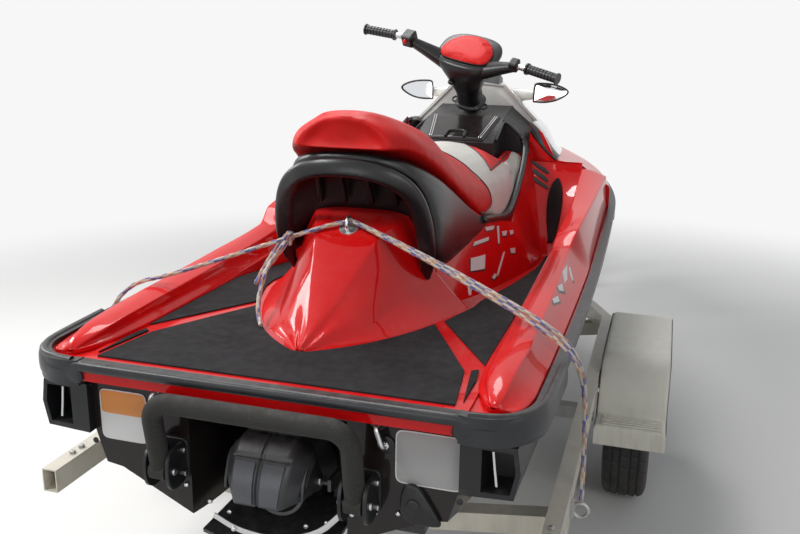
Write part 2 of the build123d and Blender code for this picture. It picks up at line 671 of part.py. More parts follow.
def steering_neck():
    """Black neck that widens into the bar cover."""
    sections = []
    for height, rear, front, half in NECK_SECTIONS:
        corner = 0.55
        points = [(rear, -half * corner), (rear, half * corner), (rear * 0.4, half), (front * 0.45, half),
                  (front, half * corner * 0.8), (front, -half * corner * 0.8), (front * 0.45, -half),
                  (rear * 0.4, -half)]
        sections.append(Pos(0, 0, height) * make_face(Polyline(*points, close=True)))
    neck = loft(sections, ruled=True)
    neck -= Cylinder(COLUMN_RADIUS + COLUMN_PLAY, 136, align=(Align.CENTER, Align.CENTER, Align.MIN))
    neck -= handlebar_tube()
    return steering_place() * Rot(0, 0, STEERING_TURN) * neck


def handlebar_tube():
    """Bent tube, in the steering's own frame."""
    mid = (BAR_SETBACK + 40, BAR_HEIGHT - 92)
    half = [(BAR_SETBACK, -BAR_HALF, BAR_HEIGHT), (BAR_SETBACK + 18, -250, BAR_HEIGHT - 6), (mid[0], -90, mid[1])]
    points = half + [(x, -y, z) for x, y, z in reversed(half)]
    return tube(points, BAR_RADIUS, [60, 50, 50, 60])


def handlebar():
    """Handlebar tube in place."""
    return steering_place() * Rot(0, 0, STEERING_TURN) * handlebar_tube()


def handle_grips():
    """Ribbed rubber grips on the bar ends."""
    start = Vector(BAR_SETBACK, BAR_HALF, BAR_HEIGHT)
    knee = Vector(BAR_SETBACK + 18, 250, BAR_HEIGHT - 6)
    along = (knee - start).normalized()
    plane = Plane(start - along * 4, z_dir=along)
    grip = Solid.make_cylinder(GRIP_RADIUS - 2, GRIP_LENGTH, plane)
    pieces = Part() + grip
    for index in range(9):
        pieces += Solid.make_cylinder(GRIP_RADIUS, 7, Plane(start + along * (4 + index * 13), z_dir=along))
    pieces += Solid.make_cylinder(GRIP_RADIUS + 4, 5, Plane(start - along * 4, z_dir=along))
    pieces += Solid.make_cylinder(GRIP_RADIUS + 4, 6, Plane(start + along * (GRIP_LENGTH - 8), z_dir=along))
    pieces -= handlebar_tube()
    return steering_place() * Rot(0, 0, STEERING_TURN) * both_sides(pieces)


def switch_pod():
    """Start and stop switch on the port side of the bar, and the throttle lever on the starboard side."""
    pod = Pos(BAR_SETBACK + 22, 222, BAR_HEIGHT - 12) * Box(52, 46, 50)
    pod = fillet(pod.edges(), 8) - handlebar_tube() - neck_local()
    lever = Pos(BAR_SETBACK + 22, -226, BAR_HEIGHT - 10) * Box(40, 34, 38)
    lever = fillet(lever.edges(), 7) - handlebar_tube() - neck_local()
    return steering_place() * Rot(0, 0, STEERING_TURN) * (pod + lever)


def neck_local():
    """Space of the bar cover, in the steering's own frame."""
    return Pos(30, 0, 190) * Box(240, 256, 74)


def handlebar_pad():
    """Padded top of the bar cover."""
    _, rear, front, half = NECK_SECTIONS[-1]
    points = [(rear * 0.3, -half + 6), (front * 0.5, -half + 10), (front - 8, -half * 0.4), (front - 8, half * 0.4),
              (front * 0.5, half - 10), (rear * 0.3, half - 6), (rear + 6, half * 0.5), (rear + 6, -half * 0.5)]
    face = Pos(0, 0, NECK_SECTIONS[-1][0] + PAD_LIFT) * make_face(Polyline(*points, close=True))
    pad = extrude(face, amount=PAD_THICK, taper=30)
    return steering_place() * Rot(0, 0, STEERING_TURN) * pad


def pump_housing():
    """Jet pump duct with stator vanes, rear cone and the arms that carry the gate."""
    outer, bore = PUMP_BORE + PUMP_WALL, PUMP_BORE
    profile = [(PUMP_REAR - 5, 44), (PUMP_REAR - 5, 52), (250, outer), (PUMP_FRONT - 12, outer),
               (PUMP_FRONT - 12, outer + 10), (TUNNEL_END, outer + 10), (TUNNEL_END, bore), (256, bore)]
    face = make_face(Polyline(*[(x, 0, r) for x, r in profile], close=True))
    body = revolve(face, axis=Axis.X)
    hub_rear, hub_front, hub_radius = STATOR
    body += rod((hub_rear, 0, 0), (hub_front, 0, 0), hub_radius)
    for index in range(5):
        vane = Pos((hub_rear + hub_front) / 2 + 6, 0, (hub_radius + bore) / 2 + 1) * Box(48, 5, bore - hub_radius + 6)
        body += Rot(index * 72 + 18, 0, 0) * vane
    body -= rod((hub_rear + 10, 0, 0), (hub_front + 1, 0, 0), SHAFT_RADIUS + IMPELLER_PLAY)
    body = Pos(0, 0, JET_Z) * body
    arm_y = GATE_HALF + 6
    arm = side_prism([(GATE_PIVOT[0] - 12, GATE_PIVOT[1] - 14), (GATE_PIVOT[0] - 12, GATE_PIVOT[1] + 14),
                      (300, JET_Z + 34), (300, JET_Z - 30)], 4, arm_y + 4)
    arm += block(276, 300, 74, arm_y + 1, JET_Z - 30, JET_Z + 30)
    arm += rod((GATE_PIVOT[0], GATE_HALF - 12, GATE_PIVOT[1]), (GATE_PIVOT[0], arm_y + 4, GATE_PIVOT[1]), 6)
    lug = block(NOZZLE_PIVOT_X - 9, 252, -9, 9, JET_Z + 68, JET_Z + 78)
    lug += rod((NOZZLE_PIVOT_X, 0, JET_Z + 52), (NOZZLE_PIVOT_X, 0, JET_Z + 74), 5)
    lower = Pos(0, 0, JET_Z) * (Rot(180, 0, 0) * (Pos(0, 0, -JET_Z) * lug))
    bore_room = Pos(0, 0, JET_Z) * rod((256, 0, 0), (PUMP_FRONT, 0, 0), bore)
    body += both_sides(arm - bore_room)
    return body + lug + lower


def impeller():
    """Four-bladed impeller on the drive shaft."""
    front = IMPELLER_X + 34
    body = rod((STATOR[0] + 14, 0, 0), (SHAFT_FRONT, 0, 0), SHAFT_RADIUS)
    body += rod((STATOR[1] + 4, 0, 0), (front, 0, 0), STATOR[2])
    reach = PUMP_BORE - IMPELLER_GAP
    for index in range(BLADES):
        blade = Pos(IMPELLER_X, 0, (STATOR[2] + reach) / 2) * Rot(0, 0, 38) * Box(74, 5, reach - STATOR[2] + 6)
        body += Rot(index * 360 / BLADES, 0, 0) * blade
    sleeve = rod((STATOR[1] + 4, 0, 0), (front + 30, 0, 0), reach) + rod((200, 0, 0), (SHAFT_FRONT, 0, 0), SHAFT_RADIUS)
    return Pos(0, 0, JET_Z) * (body & sleeve)


def steering_nozzle():
    """Steering nozzle, turned as far as the parked handlebar turns it."""
    outer = NOZZLE_RADIUS + NOZZLE_WALL
    x0, x1 = NOZZLE_REAR - NOZZLE_PIVOT_X, 0
    profile = [(x0, 42), (x0, 50), (x0 + 12, 52), (x1, outer), (x1, NOZZLE_RADIUS)]
    face = make_face(Polyline(*[(x, 0, r) for x, r in profile], close=True))
    body = revolve(face, axis=Axis.X)
    for side in (1, -1):
        boss = rod((0, 0, side * (outer - 4)), (0, 0, side * (outer + 2)), 12)
        body += boss
        body -= rod((0, 0, side * 40), (0, 0, side * 90), 5 + NOZZLE_PLAY)
    body &= block(-200, 8, -100, 100, -100, 100)
    arm = block(-40, -24, outer - 12, outer + 22, -6, 6)
    body += arm
    turn = -STEERING_TURN * NOZZLE_RATIO
    return Pos(NOZZLE_PIVOT_X, 0, JET_Z) * Rot(0, 0, turn) * body


def reverse_gate():
    """Reverse bucket, raised above the nozzle, with its side plates."""
    x, z = GATE_PIVOT

    def at(radius, degrees):
        angle = math.radians(degrees)
        return (x - radius * math.cos(angle), 0, z + radius * math.sin(angle))

    low, high = GATE_ARC
    middle = (low + high) / 2
    inner = GATE_RADIUS - GATE_WALL
    band = make_face([
        ThreePointArc(at(GATE_RADIUS, low), at(GATE_RADIUS, middle), at(GATE_RADIUS, high)),
        Line(at(GATE_RADIUS, high), at(inner, high)),
        ThreePointArc(at(inner, high), at(inner, middle), at(inner, low)),
        Line(at(inner, low), at(GATE_RADIUS, low)),
    ])
    shell = extrude(band, amount=GATE_HALF, dir=(0, 1, 0), both=True)
    cheek = make_face([
        ThreePointArc(at(GATE_RADIUS, low), at(GATE_RADIUS, middle), at(GATE_RADIUS, high)),
        Polyline(at(GATE_RADIUS, high), at(20, high), at(22, middle + 180), at(20, low), at(GATE_RADIUS, low)),
    ])
    plate = extrude(cheek, amount=GATE_WALL - 2, dir=(0, 1, 0))
    plate = Pos(0, GATE_HALF - GATE_WALL + 2, 0) * plate
    shell += both_sides(plate)
    for rib_y in (-66, -22, 22, 66):
        rib = extrude(make_face([
            ThreePointArc(at(GATE_RADIUS + 6, 12), at(GATE_RADIUS + 6, 44), at(GATE_RADIUS + 6, 78)),
            Line(at(GATE_RADIUS + 6, 78), at(GATE_RADIUS - 2, 78)),
            ThreePointArc(at(GATE_RADIUS - 2, 78), at(GATE_RADIUS - 2, 44), at(GATE_RADIUS - 2, 12)),
            Line(at(GATE_RADIUS - 2, 12), at(GATE_RADIUS + 6, 12)),
        ]), amount=3, dir=(0, 1, 0), both=True)
        shell += Pos(0, rib_y, 0) * rib
    return shell - rod((x, -FAR, z), (x, FAR, z), 6 + PIN_PLAY)


def ride_plate():
    """Plate under the pump, hung from it on two posts."""
    low, edge = RIDE_PLATE_Z, RIDE_PLATE_Z + 42
    plate = cross_prism([(-150, edge), (0, low), (150, edge), (150, edge + RIDE_PLATE), (0, low + RIDE_PLATE),
                         (-150, edge + RIDE_PLATE)], TRANSOM_X - 22, TUNNEL_END)
    posts = both_sides(block(300, 380, 60, 90, low + 24, JET_Z - 50))
    housing = Pos(0, 0, JET_Z) * rod((200, 0, 0), (TUNNEL_END, 0, 0), PUMP_BORE + PUMP_WALL)
    return plate + (posts - housing)


def intake_grate():
    """Bars across the intake in the bottom."""
    bars = Part()
    for y in (-54, -27, 0, 27, 54):
        bars += block(INTAKE_REAR - 30, INTAKE_FRONT + 20, y - 3, y + 3, 4, 22)
    bars += block(INTAKE_REAR - 30, INTAKE_REAR - 4, -70, 70, 4, 22)
    return bars & duct()


def engine_block():
    """Plain block for the engine, on its bearers."""
    rear, front = ENGINE[0], ENGINE[1]
    body = block(rear, front, -ENGINE[2], ENGINE[2], 105, ENGINE[3])
    for x in (rear + 60, front - 140):
        body += both_sides(block(x, x + 80, 100, 150, 20, 106))
    return (body & hull_loft(HULL_WALL)) + rod((SHAFT_FRONT + 4, 0, JET_Z), (rear + 2, 0, JET_Z), 22)


def boarding_step():
    """Folding step: a bent tube with an eye at each foot."""
    x, z = STEP_PIVOT
    points = [(x, -STEP_HALF, z + 12), (x - STEP_LEAN, -STEP_HALF, STEP_TOP), (x - STEP_LEAN, STEP_HALF, STEP_TOP),
              (x, STEP_HALF, z + 12)]
    hoop = tube(points, STEP_RADIUS, STEP_BEND)
    for side in (1, -1):
        hoop += rod((x, side * STEP_HALF - 19, z), (x, side * STEP_HALF + 19, z), STEP_RADIUS)
        hoop -= rod((x, side * STEP_HALF - 40, z), (x, side * STEP_HALF + 40, z), STEP_PIN + PIN_PLAY)
    return hoop


def step_brackets():
    """Twin plates and pins that carry the step on the transom."""
    x, z = STEP_PIVOT
    spread = STEP_RADIUS + 5
    plate = side_prism([(TRANSOM_X + 10, z + 48), (x - 8, z + 22), (x - 22, z - 8), (x - 4, z - 34),
                        (TRANSOM_X + 10, z - 44)], 3, STEP_HALF + spread)
    other = Pos(0, -2 * spread, 0) * plate
    pin = rod((x, STEP_HALF - spread - 7, z), (x, STEP_HALF + spread + 7, z), STEP_PIN)
    base = block(TRANSOM_X - 5, TRANSOM_X + 10, STEP_HALF - spread - 9, STEP_HALF + spread + 9, z - 44, z + 48)
    return both_sides(plate + other + pin + base) - hull_loft()


def sponson():
    """Port sponson on the hull side, open at its rear end."""
    rear = make_face(Polyline((40, 430, 262), (40, 540, 268), (40, 552, 326), (40, 544, 380), (40, 430, 380), close=True))
    front = make_face(Polyline((700, 470, 268), (700, 556, 272), (700, 574, 330), (700, 570, 372), (700, 470, 376),
                               close=True))
    tip = make_face(Polyline((900, 500, 300), (900, 548, 304), (900, 556, 330), (900, 552, 352), (900, 500, 352),
                             close=True))
    body = loft([rear, front, tip], ruled=True)
    pocket = loft([make_face(Polyline((39, 474, 276), (39, 532, 278), (39, 542, 326), (39, 536, 368), (39, 474, 368),
                                      close=True)),
                   make_face(Polyline((110, 484, 280), (110, 530, 282), (110, 540, 326), (110, 534, 364), (110, 484, 364),
                                      close=True))])
    return body - pocket - hull_loft()


def deck_mats():
    """Traction mats on the platform and in both footwells."""
    layer = above_floor(0, FAR) - above_floor(-MAT, FAR)
    platform = [(64, 412), (244, 388), (536, 240)]
    outline = platform + [(x, -y) for x, y in reversed(platform)]
    rear = plan_prism(outline, GROUND, TALL)
    foot = [(292, 424), (560, 262), (700, 306), (1060, 342), (1420, 360), (1860, 362), (1860, 380), (1500, 404),
            (1200, 424)]
    side = plan_prism(foot, GROUND, TALL)
    strip = plan_prism([(84, 424), (250, 402), (262, 416), (200, 424)], GROUND, TALL)
    hump = loft([half_section(x, [(base + 9, PLATFORM_Z - 60), (base + 9, PLATFORM_Z + 60)])
                 for x, base, *_ in ((HUMP_TIP - 10, 6),) + HUMP_SECTIONS[1:]])
    return ((rear + both_sides(side) + both_sides(strip)) & layer) - hump


def tow_eye():
    """Ring and base plate for towing, on the hump."""
    ring = Pos(TOW_EYE[0], 0, TOW_EYE[1]) * Rot(90, 0, 0) * Torus(TOW_RING[0], TOW_RING[1])
    base = Pos(TOW_EYE[0] + 4, 0, TOW_EYE[1] - 14) * Rot(0, -38, 0) * Cylinder(26, 14)
    return ring + base - hump_loft()


def tie_down_eyes():
    """Tie-down loops on the transom and on the stem."""
    stem = [(2840, 0, 330), (2945, 0, 330), (2945, 0, 386), (2880, 0, 386)]
    points = [(TRANSOM_X + 10, 272, 336), (TRANSOM_X - 26, 272, 338), (TRANSOM_X - 26, 256, 386),
              (TRANSOM_X + 10, 256, 388)]
    return tube(stem, 6, 16) + both_sides(tube(points, 5, 14)) - hull_loft()


def lashing_rope():
    """Rope over the stern from rail to rail, through the towing eye, with its knot and tail."""
    line = tube(ROPE, ROPE_RADIUS, rope_radii(ROPE))
    knot = Pos(*ROPE_KNOT) * Sphere(16)
    tail = tube(ROPE_TAIL, ROPE_RADIUS, rope_radii(ROPE_TAIL))
    return line + knot + tail


def rope_radii(points):
    """Largest bend that each corner's runs allow."""
    radii = []
    for before, here, after in zip(points, points[1:], points[2:]):
        one, two = Vector(*here) - Vector(*before), Vector(*after) - Vector(*here)
        turn = math.radians(one.get_angle(two))
        radii.append(0.45 * min(one.length, two.length) / math.tan(turn / 2))
    return radii


def frame_rail():
    """Port side member, straight past the wheel and bent in to the drawbar."""
    width, height, wall = RAIL_TUBE
    meet_x, meet_y = RAIL_MEET

    def outline(inset, rear):
        return [(rear, RAIL_Y + width / 2 - inset), (RAIL_BEND, RAIL_Y + width / 2 - inset),
                (meet_x, meet_y + width / 2 - inset), (meet_x, meet_y - width / 2 + inset),
                (RAIL_BEND, RAIL_Y - width / 2 + inset), (rear, RAIL_Y - width / 2 + inset)]

    body = plan_prism(outline(0, RAIL_REAR), RAIL_TOP - height, RAIL_TOP)
    body -= plan_prism(outline(wall, RAIL_REAR - 1), RAIL_TOP - height + wall, RAIL_TOP - wall)
    return body - drawbar_bar()


def drawbar_bar():
    """Outer form of the drawbar."""
    rear, front, half, _ = DRAWBAR
    return block(rear, front, -half, half, RAIL_TOP - 2 * half, RAIL_TOP)


def drawbar():
    """Square drawbar tube from the rails to the coupler."""
    rear, front, half, wall = DRAWBAR
    inside = block(rear - 1, front - 20, wall - half, half - wall, RAIL_TOP - 2 * half + wall, RAIL_TOP - wall)
    return drawbar_bar() - inside


def crossbar(x):
    """V-shaped box member under the rails, below the keel in the middle."""
    bottom = RAIL_TOP - RAIL_TUBE[1]
    bend = max(x - RAIL_BEND, 0) / (RAIL_MEET[0] - RAIL_BEND)
    half = RAIL_Y + (RAIL_MEET[1] - RAIL_Y) * bend + RAIL_TUBE[0] / 2 - (2 if bend else 0)
    dip = -28
    wall = RAIL_TUBE[2] + 1

    def profile(inset):
        top, under = -inset, inset - CROSSBAR_WIDTH
        end = half - inset
        return [(-end, bottom + top), (0, dip + top), (end, bottom + top), (end, bottom + under), (0, dip + under),
                (-end, bottom + under)]

    bar = cross_prism(profile(0), x - CROSSBAR_WIDTH / 2, x + CROSSBAR_WIDTH / 2)
    return bar - cross_prism(profile(wall), x - CROSSBAR_WIDTH / 2 + wall, x + CROSSBAR_WIDTH / 2 - wall)


def crossbars():
    """Both cross members of the trailer with the uprights that carry the bunks."""
    bars = Part()
    for x in CROSSBARS:
        bars += crossbar(x)
    return bars + both_sides(bunk_posts())


def bunk():
    """Port bunk, a carpeted board under the V bottom."""
    rear, front, y, width, thick = BUNK
    slope = HULL_SECTIONS[0][3] / HULL_SECTIONS[0][2]
    top = (y - width / 2) * slope + 30
    body = block(rear, front, y - width / 2, y + width / 2, top - thick - 30, top + 60)
    return body - hull_loft()


def bunk_posts():
    """Uprights from the cross members to the port bunk."""
    rear, front, y, width, thick = BUNK
    posts = Part()
    for x in CROSSBARS:
        posts += block(x - 20, x + 20, y - 22, y + 22, -10, 200)
    slope = HULL_SECTIONS[0][3] / HULL_SECTIONS[0][2]
    return (posts & block(0, 4000, 0, FAR, GROUND, (y - width / 2) * slope + 31 - thick)) - bunk() - hull_loft()


def axle():
    """Square axle with its stub ends."""
    half = AXLE_SQUARE / 2
    z = TYRE_RADIUS + GROUND
    body = block(WHEEL_X - half, WHEEL_X + half, -640, 640, z - half, z + half)
    stub = rod((WHEEL_X, 636, z), (WHEEL_X, TRACK_HALF + 34, z), HUB_BORE - HUB_PLAY)
    return body + both_sides(stub)


def leaf_spring():
    """Port leaf spring with its hangers."""
    seat_z = TYRE_RADIUS + GROUND + AXLE_SQUARE / 2
    hang_z = RAIL_TOP - RAIL_TUBE[1] - 42
    leaves = Part()
    for index, reach in enumerate((SPRING_HALF, SPRING_HALF * 0.72, SPRING_HALF * 0.45)):
        share = (reach / SPRING_HALF) ** 2
        end_z = seat_z + 24 - index * 8 + (hang_z - seat_z - 24) * share
        low = seat_z + 24 - index * 8
        leaf = make_face([
            ThreePointArc((WHEEL_X - reach, 0, end_z), (WHEEL_X, 0, low), (WHEEL_X + reach, 0, end_z)),
            Line((WHEEL_X + reach, 0, end_z), (WHEEL_X + reach, 0, end_z - 8)),
            ThreePointArc((WHEEL_X + reach, 0, end_z - 8), (WHEEL_X, 0, low - 8), (WHEEL_X - reach, 0, end_z - 8)),
            Line((WHEEL_X - reach, 0, end_z - 8), (WHEEL_X - reach, 0, end_z)),
        ])
        leaves += extrude(leaf, amount=SPRING_WIDTH / 2, dir=(0, 1, 0), both=True)
    for side in (1, -1):
        x = WHEEL_X + side * SPRING_HALF
        leaves += block(x - 16, x + 16, -SPRING_WIDTH / 2, SPRING_WIDTH / 2, hang_z - 8, RAIL_TOP - RAIL_TUBE[1])
    leaves += block(WHEEL_X - 35, WHEEL_X + 35, -SPRING_WIDTH / 2, SPRING_WIDTH / 2, seat_z, seat_z + 6)
    return Pos(0, RAIL_Y, 0) * leaves


def rim():
    """Port wheel disc with its drop-centre rim and hub."""
    edge = TYRE_WIDTH / 2 - 14
    profile = [(-edge, RIM_RADIUS + 10), (-edge, RIM_RADIUS - 4), (-30, RIM_RADIUS - 22), (20, RIM_RADIUS - 22),
               (24, 90), (34, 60), (34, 36), (40, 36), (40, HUB_BORE), (-44, HUB_BORE), (-44, 34), (16, 34), (16, 60),
               (14, RIM_RADIUS - 26), (-34, RIM_RADIUS - 26)]
    outer = [(-edge, RIM_RADIUS + 10), (-edge + 6, RIM_RADIUS + 10), (-edge + 10, RIM_RADIUS), (-34, RIM_RADIUS),
             (-28, RIM_RADIUS - 16), (28, RIM_RADIUS - 16), (34, RIM_RADIUS), (edge - 10, RIM_RADIUS),
             (edge - 6, RIM_RADIUS + 10), (edge, RIM_RADIUS + 10), (edge, RIM_RADIUS - 6), (32, RIM_RADIUS - 22),
             (24, RIM_RADIUS - 22), (34, 74), (34, 38), (42, 36), (42, HUB_BORE), (-42, HUB_BORE), (-42, 34),
             (20, 34), (24, 74), (14, RIM_RADIUS - 22), (-32, RIM_RADIUS - 22), (-edge, RIM_RADIUS - 6)]
    face = make_face(Polyline(*[(r, y, 0) for y, r in outer], close=True))
    body = revolve(face, axis=Axis.Y)
    for index in range(4):
        body -= Rot(0, index * 90, 0) * rod((54, 10, 0), (54, 50, 0), 6.5)
        body -= Rot(0, index * 90 + 45, 0) * rod((100, 5, 0), (100, 45, 0), 15)
    z = TYRE_RADIUS + GROUND
    return Pos(WHEEL_X, TRACK_HALF, z) * body


def tyre():
    """Port tyre."""
    half = TYRE_WIDTH / 2
    bead = half - 14
    outer = [(-bead + 10, RIM_RADIUS), (-bead + 6, RIM_RADIUS + 10), (-bead, RIM_RADIUS + 10),
             (-half, RIM_RADIUS + 56), (-half + 10, TYRE_RADIUS - 16), (-half + 24, TYRE_RADIUS - 3), (0, TYRE_RADIUS),
             (half - 24, TYRE_RADIUS - 3), (half - 10, TYRE_RADIUS - 16), (half, RIM_RADIUS + 56),
             (bead, RIM_RADIUS + 10), (bead - 6, RIM_RADIUS + 10), (bead - 10, RIM_RADIUS),
             (bead - 14, RIM_RADIUS + 16), (half - 12, RIM_RADIUS + 56), (half - 26, TYRE_RADIUS - 22),
             (-half + 26, TYRE_RADIUS - 22), (-half + 12, RIM_RADIUS + 56), (-bead + 14, RIM_RADIUS + 16)]
    face = make_face(Polyline(*[(r, y, 0) for y, r in outer], close=True))
    z = TYRE_RADIUS + GROUND
    return Pos(WHEEL_X, TRACK_HALF, z) * revolve(face, axis=Axis.Y)


def fender():
    """Port mudguard with a step at each end."""
    rear, front, inner, outer, top, step, lip, wall = FENDER
    profile = [(rear, lip), (rear, step), (rear + 88, step), (rear + 176, top), (front - 140, top),
               (front - 62, step), (front, step), (front, lip)]
    low = [(rear + wall, lip - 10), (rear + wall, step - wall), (rear + 88 + wall, step - wall),
           (rear + 176 + wall, top - wall), (front - 140 - wall, top - wall), (front - 62 - wall, step - wall),
           (front - wall, step - wall), (front - wall, lip - 10)]
    half = (outer - inner) / 2
    body = side_prism(profile, half, inner + half)
    body = fillet(body.edges().filter_by(Axis.Y).group_by(Axis.Z)[-1], 55)
    return body - side_prism(low, half, inner + half - wall)


def fender_stays():
    """Arms from the rail to each mudguard."""
    rear, front, inner, outer, top, step, lip, wall = FENDER
    stays = Part()
    for x in (rear + 44, front - 34):
        stays += block(x - 18, x + 18, RAIL_Y + RAIL_TUBE[0] / 2, outer - 40, step - wall - 8, step - wall)
        stays += block(x - 18, x + 18, RAIL_Y + RAIL_TUBE[0] / 2, inner, step - wall - 8, RAIL_TOP - 8)
    return stays


def coupler():
    """Pressed ball coupler with its lever."""
    body = side_prism([(4040, RAIL_TOP), (4040, 136), (4180, 130), (4230, 104), (COUPLER_NOSE, 96), (COUPLER_NOSE, 30),
                       (COUPLER_NOSE - 96, 30), (4082, 58), (4082, RAIL_TOP)], 38)
    body = fillet(body.edges().filter_by(Axis.Z), 14) if body.edges().filter_by(Axis.Z) else body
    socket = Pos(COUPLER_X, 0, BALL_Z) * (Sphere(BALL_RADIUS) + Pos(0, 0, -60) * Cylinder(
        BALL_RADIUS, 60, align=(Align.CENTER, Align.CENTER, Align.MIN)))
    lever = side_prism([(4120, 128), (4096, 168), (4190, 178), (4200, 168), (4150, 128)], 9)
    return body + lever - socket - drawbar_bar()


def jack():
    """Parking jack with its foot plate and crank."""
    body = rod((JACK_X, JACK_Y, GROUND + 8), (JACK_X, JACK_Y, 60), 22)
    body += rod((JACK_X, JACK_Y, -200), (JACK_X, JACK_Y, 300), 29)
    body += block(JACK_X - 80, JACK_X + 80, JACK_Y - 80, JACK_Y + 80, GROUND, GROUND + 8)
    body += block(JACK_X - 40, JACK_X + 40, JACK_Y, -DRAWBAR[2], RAIL_TOP - 60, RAIL_TOP)
    body += rod((JACK_X, JACK_Y, 270), (JACK_X, JACK_Y - 92, 270), 7)
    body += rod((JACK_X, JACK_Y - 90, 264), (JACK_X, JACK_Y - 90, 366), 8)
    return body


def winch_post():
    """Upright with the winch and the bow stop."""
    x = WINCH_POST_X
    post = side_prism([(x - 30, RAIL_TOP), (x + 30, RAIL_TOP), (x - 54, 640), (x - 114, 640)], 30)
    foot = block(x - 70, x + 70, -34, 34, RAIL_TOP, RAIL_TOP + 8)
    winch = block(x - 60, x + 48, -52, 52, 440, 540) - block(x - 28, x + 49, -44, 44, 448, 541)
    drum = rod((x + 8, -52, 494), (x + 8, 52, 494), 16) + rod((x + 8, -40, 494), (x + 8, 40, 494), 34)
    crank = rod((x + 8, 50, 494), (x + 8, 92, 494), 7) + block(x + 2, x + 14, 84, 94, 494, 670)
    crank += rod((x + 8, 90, 660), (x + 8, 170, 660), 11)
    return post + foot + winch + drum + crank


def bow_stop():
    """Rubber block that the bow rests against."""
    x = WINCH_POST_X - 110
    body = side_prism([(x - 4, 560), (x - 4, 650), (x - 64, 650), (x - 64, 560)], 46)
    body -= winch_post()
    return body - outline_solid(-1) - body_loft()


def lashing_hooks():
    """Rings on the rails for the lashing rope."""
    y = RAIL_Y + RAIL_TUBE[0] / 2
    x = HOOK_X
    hook = Pos(x, y + 24, HOOK_Z) * Rot(0, 90, 0) * Torus(18, 5)
    hook += block(x - 12, x + 12, y, y + 10, HOOK_Z - 18, HOOK_Z + 22)
    return both_sides(hook)


def export(shape, name):
    """Write one node in the row frame."""
    export_step(ROW_SHIFT * shape, os.path.join("parts", name + ".step"))


CENTRE_PIECES = {
    "hull": hull, "deck": deck, "deck_mats": deck_mats, "tail_hump": tail_hump,
    "centre_pedestal": centre_pedestal, "seat": seat, "seat_shell": seat_shell, "grab_handle": grab_handle,
    "front_body": front_body, "front_hood": hood, "mirror_housings": mirror_housings,
    "mirror_glasses": mirror_glasses, "gauge_pod": gauge_pod, "console": console,
    "glove_box_lid": glove_box_lid, "steering_column": steering_column, "steering_neck": steering_neck,
    "handlebar": handlebar, "handle_grips": handle_grips, "switch_pod": switch_pod,
    "handlebar_pad": handlebar_pad, "stern_trim": stern_trim, "bow_bumper": bow_bumper,
    "pump_housing": pump_housing, "impeller": impeller, "steering_nozzle": steering_nozzle,
    "reverse_gate": reverse_gate, "ride_plate": ride_plate, "intake_grate": intake_grate,
    "engine_block": engine_block, "boarding_step": boarding_step, "step_brackets": step_brackets,
    "tow_eye": tow_eye, "tie_down_eyes": tie_down_eyes, "lashing_rope": lashing_rope,
    "lashing_hooks": lashing_hooks, "drawbar": drawbar, "crossbars": crossbars, "axle": axle,
    "coupler": coupler, "parking_jack": jack, "winch_post": winch_post, "bow_stop": bow_stop,
}
BOTH_SIDES = {
    "bolsters": bolster, "stern_corners": stern_corner, "side_rails": side_rail, "sponsons": sponson,
    "frame_rails": frame_rail, "bunks": bunk, "leaf_springs": leaf_spring, "fenders": fender,
    "fender_stays": fender_stays,
}
LEFT_AND_RIGHT = {"rim": rim, "tyre": tyre}

os.makedirs("parts", exist_ok=True)
for name, make in CENTRE_PIECES.items():
    export(make(), name)
for name, make in BOTH_SIDES.items():
    export(both_sides(make()), name)
for name, make in LEFT_AND_RIGHT.items():
    piece = make()
    export(piece, name + "_left")
    export(mirrored(piece), name + "_right")
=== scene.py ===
"""Dresses a personal watercraft on its road trailer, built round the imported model.

Shapes are worked out in the craft's own frame, in millimetres: X to the bow, Y to port, Z up, with zero at the
stern edge of the deck and at keel level. ``to_row`` takes them to the shared frame, in metres.
"""
from __future__ import annotations

import json
import logging
import math
from collections.abc import Callable
from dataclasses import dataclass, field
from enum import Enum

import bmesh
import bpy
import numpy as np
from mathutils import Matrix, Vector
from mathutils.bvhtree import BVHTree

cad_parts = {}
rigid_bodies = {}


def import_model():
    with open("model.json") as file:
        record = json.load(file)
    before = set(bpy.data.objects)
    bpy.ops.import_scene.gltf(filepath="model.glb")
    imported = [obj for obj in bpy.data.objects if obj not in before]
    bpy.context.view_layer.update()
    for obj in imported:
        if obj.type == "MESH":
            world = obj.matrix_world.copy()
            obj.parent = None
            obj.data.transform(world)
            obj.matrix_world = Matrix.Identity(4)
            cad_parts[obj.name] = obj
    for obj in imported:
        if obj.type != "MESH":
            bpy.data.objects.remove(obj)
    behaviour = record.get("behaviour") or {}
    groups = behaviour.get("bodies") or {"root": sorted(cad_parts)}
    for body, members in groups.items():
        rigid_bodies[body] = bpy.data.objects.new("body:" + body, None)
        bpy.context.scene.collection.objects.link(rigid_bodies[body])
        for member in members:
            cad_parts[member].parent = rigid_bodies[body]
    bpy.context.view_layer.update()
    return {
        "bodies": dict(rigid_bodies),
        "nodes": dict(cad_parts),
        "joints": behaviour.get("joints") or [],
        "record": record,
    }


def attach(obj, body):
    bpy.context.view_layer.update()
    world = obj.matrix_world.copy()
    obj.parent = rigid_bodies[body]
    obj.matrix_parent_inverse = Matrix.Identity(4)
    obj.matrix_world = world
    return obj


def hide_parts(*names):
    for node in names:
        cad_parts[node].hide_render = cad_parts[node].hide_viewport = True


Array = np.ndarray
Colour = tuple[float, float, float]
Socket = bpy.types.NodeSocket

LOG = logging.getLogger("watercraft")
ORIGIN = np.array([-2131.5, 0.0, 400.0])
ROOT = "craft_on_trailer"
HOOD = "front_hood_assembly"
UP = np.array([0.0, 0.0, 1.0])
FORE = np.array([1.0, 0.0, 0.0])
AFT = (-1, 0, 0)
SIDES = (1, -1)
MIRROR = [1, -1, 1]
TURN = 2 * math.pi


